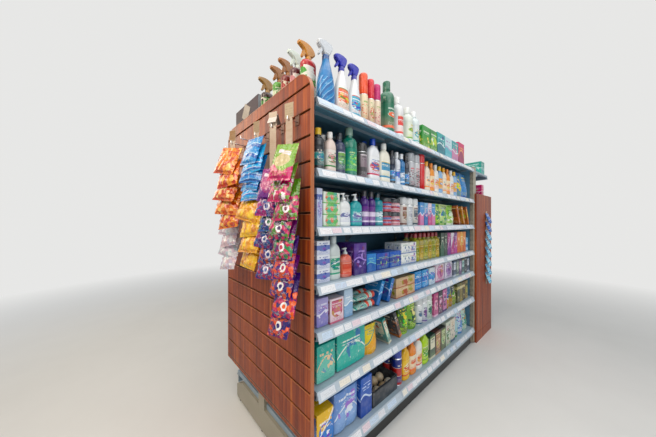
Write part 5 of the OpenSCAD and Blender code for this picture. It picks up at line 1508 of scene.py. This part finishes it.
room = {"half": 14.0, "back": (0.80, 0.80, 0.79, 1.0), "fade": (2.6, 6.0),
        "sky": (0.84, 0.93, 1.0, 1.0), "skyStrength": 0.34}
lamps = {                             # place, aim, size, power and colour
    "ceilingLight": ((0.6, -1.3, 4.2), (0.9, -0.2, 0.9), 3.6, 76, (1.0, 1.0, 1.0)),
    "aisleLight": ((-0.1, -3.4, 2.2), (0.8, -0.3, 0.9), 2.4, 42, (1.0, 1.0, 1.0)),
    "endLight": ((-1.5, -0.6, 2.8), (0.0, -0.4, 1.6), 1.2, 34, (1.0, 0.86, 0.69)),
    "roomLight": ((-1.1, 2.9, 2.8), (0.0, 0.3, 1.5), 1.8, 30, (1.0, 0.84, 0.62)),
}
lens = {"place": (-0.6384, -1.2726, 1.2017), "heading": 48.12, "focalPixels": 236.35,
        "imageWidth": 656, "horizonDrop": 4.59, "sensor": 36, "near": 0.05}

half = room["half"]
floor = linked("stageFloor", meshed(
    "stageFloor", [(-half, -half, 0), (half, -half, 0), (half, half, 0), (-half, half, 0)],
    [[0, 1, 2, 3]]))
paint = Paint("paleFloor", Roughness=0.55)
across, depth = paint.split(paint.where)[:2]
far = (square(across - 1.0) + square(depth)).called("SQRT")
inView = paint.make("ShaderNodeLightPath", output="Is Camera Ray")
glow = paint.make("ShaderNodeEmission", {}, {"Color": room["back"], "Strength": 1.0})
paint.finish(Base_Color=paint.mix(paint.noise(3.0, 4.0), "#d8d6d2", "#e0deda"))
blend = paint.make("ShaderNodeMixShader", {}, {
    0: paint.scaled(far, *room["fade"], 0.0, 1.0) * inView, 1: Wire(paint, paint.shader.outputs[0]),
    2: glow})
paint.put(paint.tree.nodes["Material Output"].inputs["Surface"], blend)
floor.data.materials.append(paint.material)

world = bpy.data.worlds.new("softRoom")
bpy.context.scene.world = world
world.use_nodes = True
sky = Nodes(world.node_tree)
rays = [sky.make("ShaderNodeLightPath", output=ray)
        for ray in ("Is Camera Ray", "Is Transmission Ray", "Is Glossy Ray")]
seen = rays[0].called("MAXIMUM", rays[1]).called("MAXIMUM", rays[2])
lit = sky.make("ShaderNodeBackground", {}, {"Color": room["sky"], "Strength": room["skyStrength"]})
back = sky.make("ShaderNodeBackground", {}, {"Color": room["back"], "Strength": 1.0})
sky.put(sky.tree.nodes["World Output"].inputs["Surface"],
        sky.make("ShaderNodeMixShader", {}, {0: seen, 1: lit, 2: back}))

for name, (place, aim, size, power, colour) in lamps.items():
    data = bpy.data.lights.new(name, "AREA")
    data.shape = "SQUARE"
    data.size = size
    data.energy = power
    data.color = colour
    light = linked(name, data)
    light.location = place
    light.visible_camera = False
    light.rotation_euler = (Vector(aim) - Vector(place)).to_track_quat("-Z", "Y").to_euler()

cameraData = bpy.data.cameras.new("photoCamera")
cameraData.sensor_width = lens["sensor"]
cameraData.lens = lens["sensor"] * lens["focalPixels"] / lens["imageWidth"]
cameraData.shift_y = lens["horizonDrop"] / lens["imageWidth"]
cameraData.clip_start = lens["near"]
camera = linked("photoCamera", cameraData)
camera.location = lens["place"]
camera.rotation_euler = (math.pi / 2, 0, math.radians(lens["heading"] - 90))
bpy.context.scene.camera = camera
bpy.context.scene.view_settings.view_transform = "Standard"
print("stage, lights and camera are set")
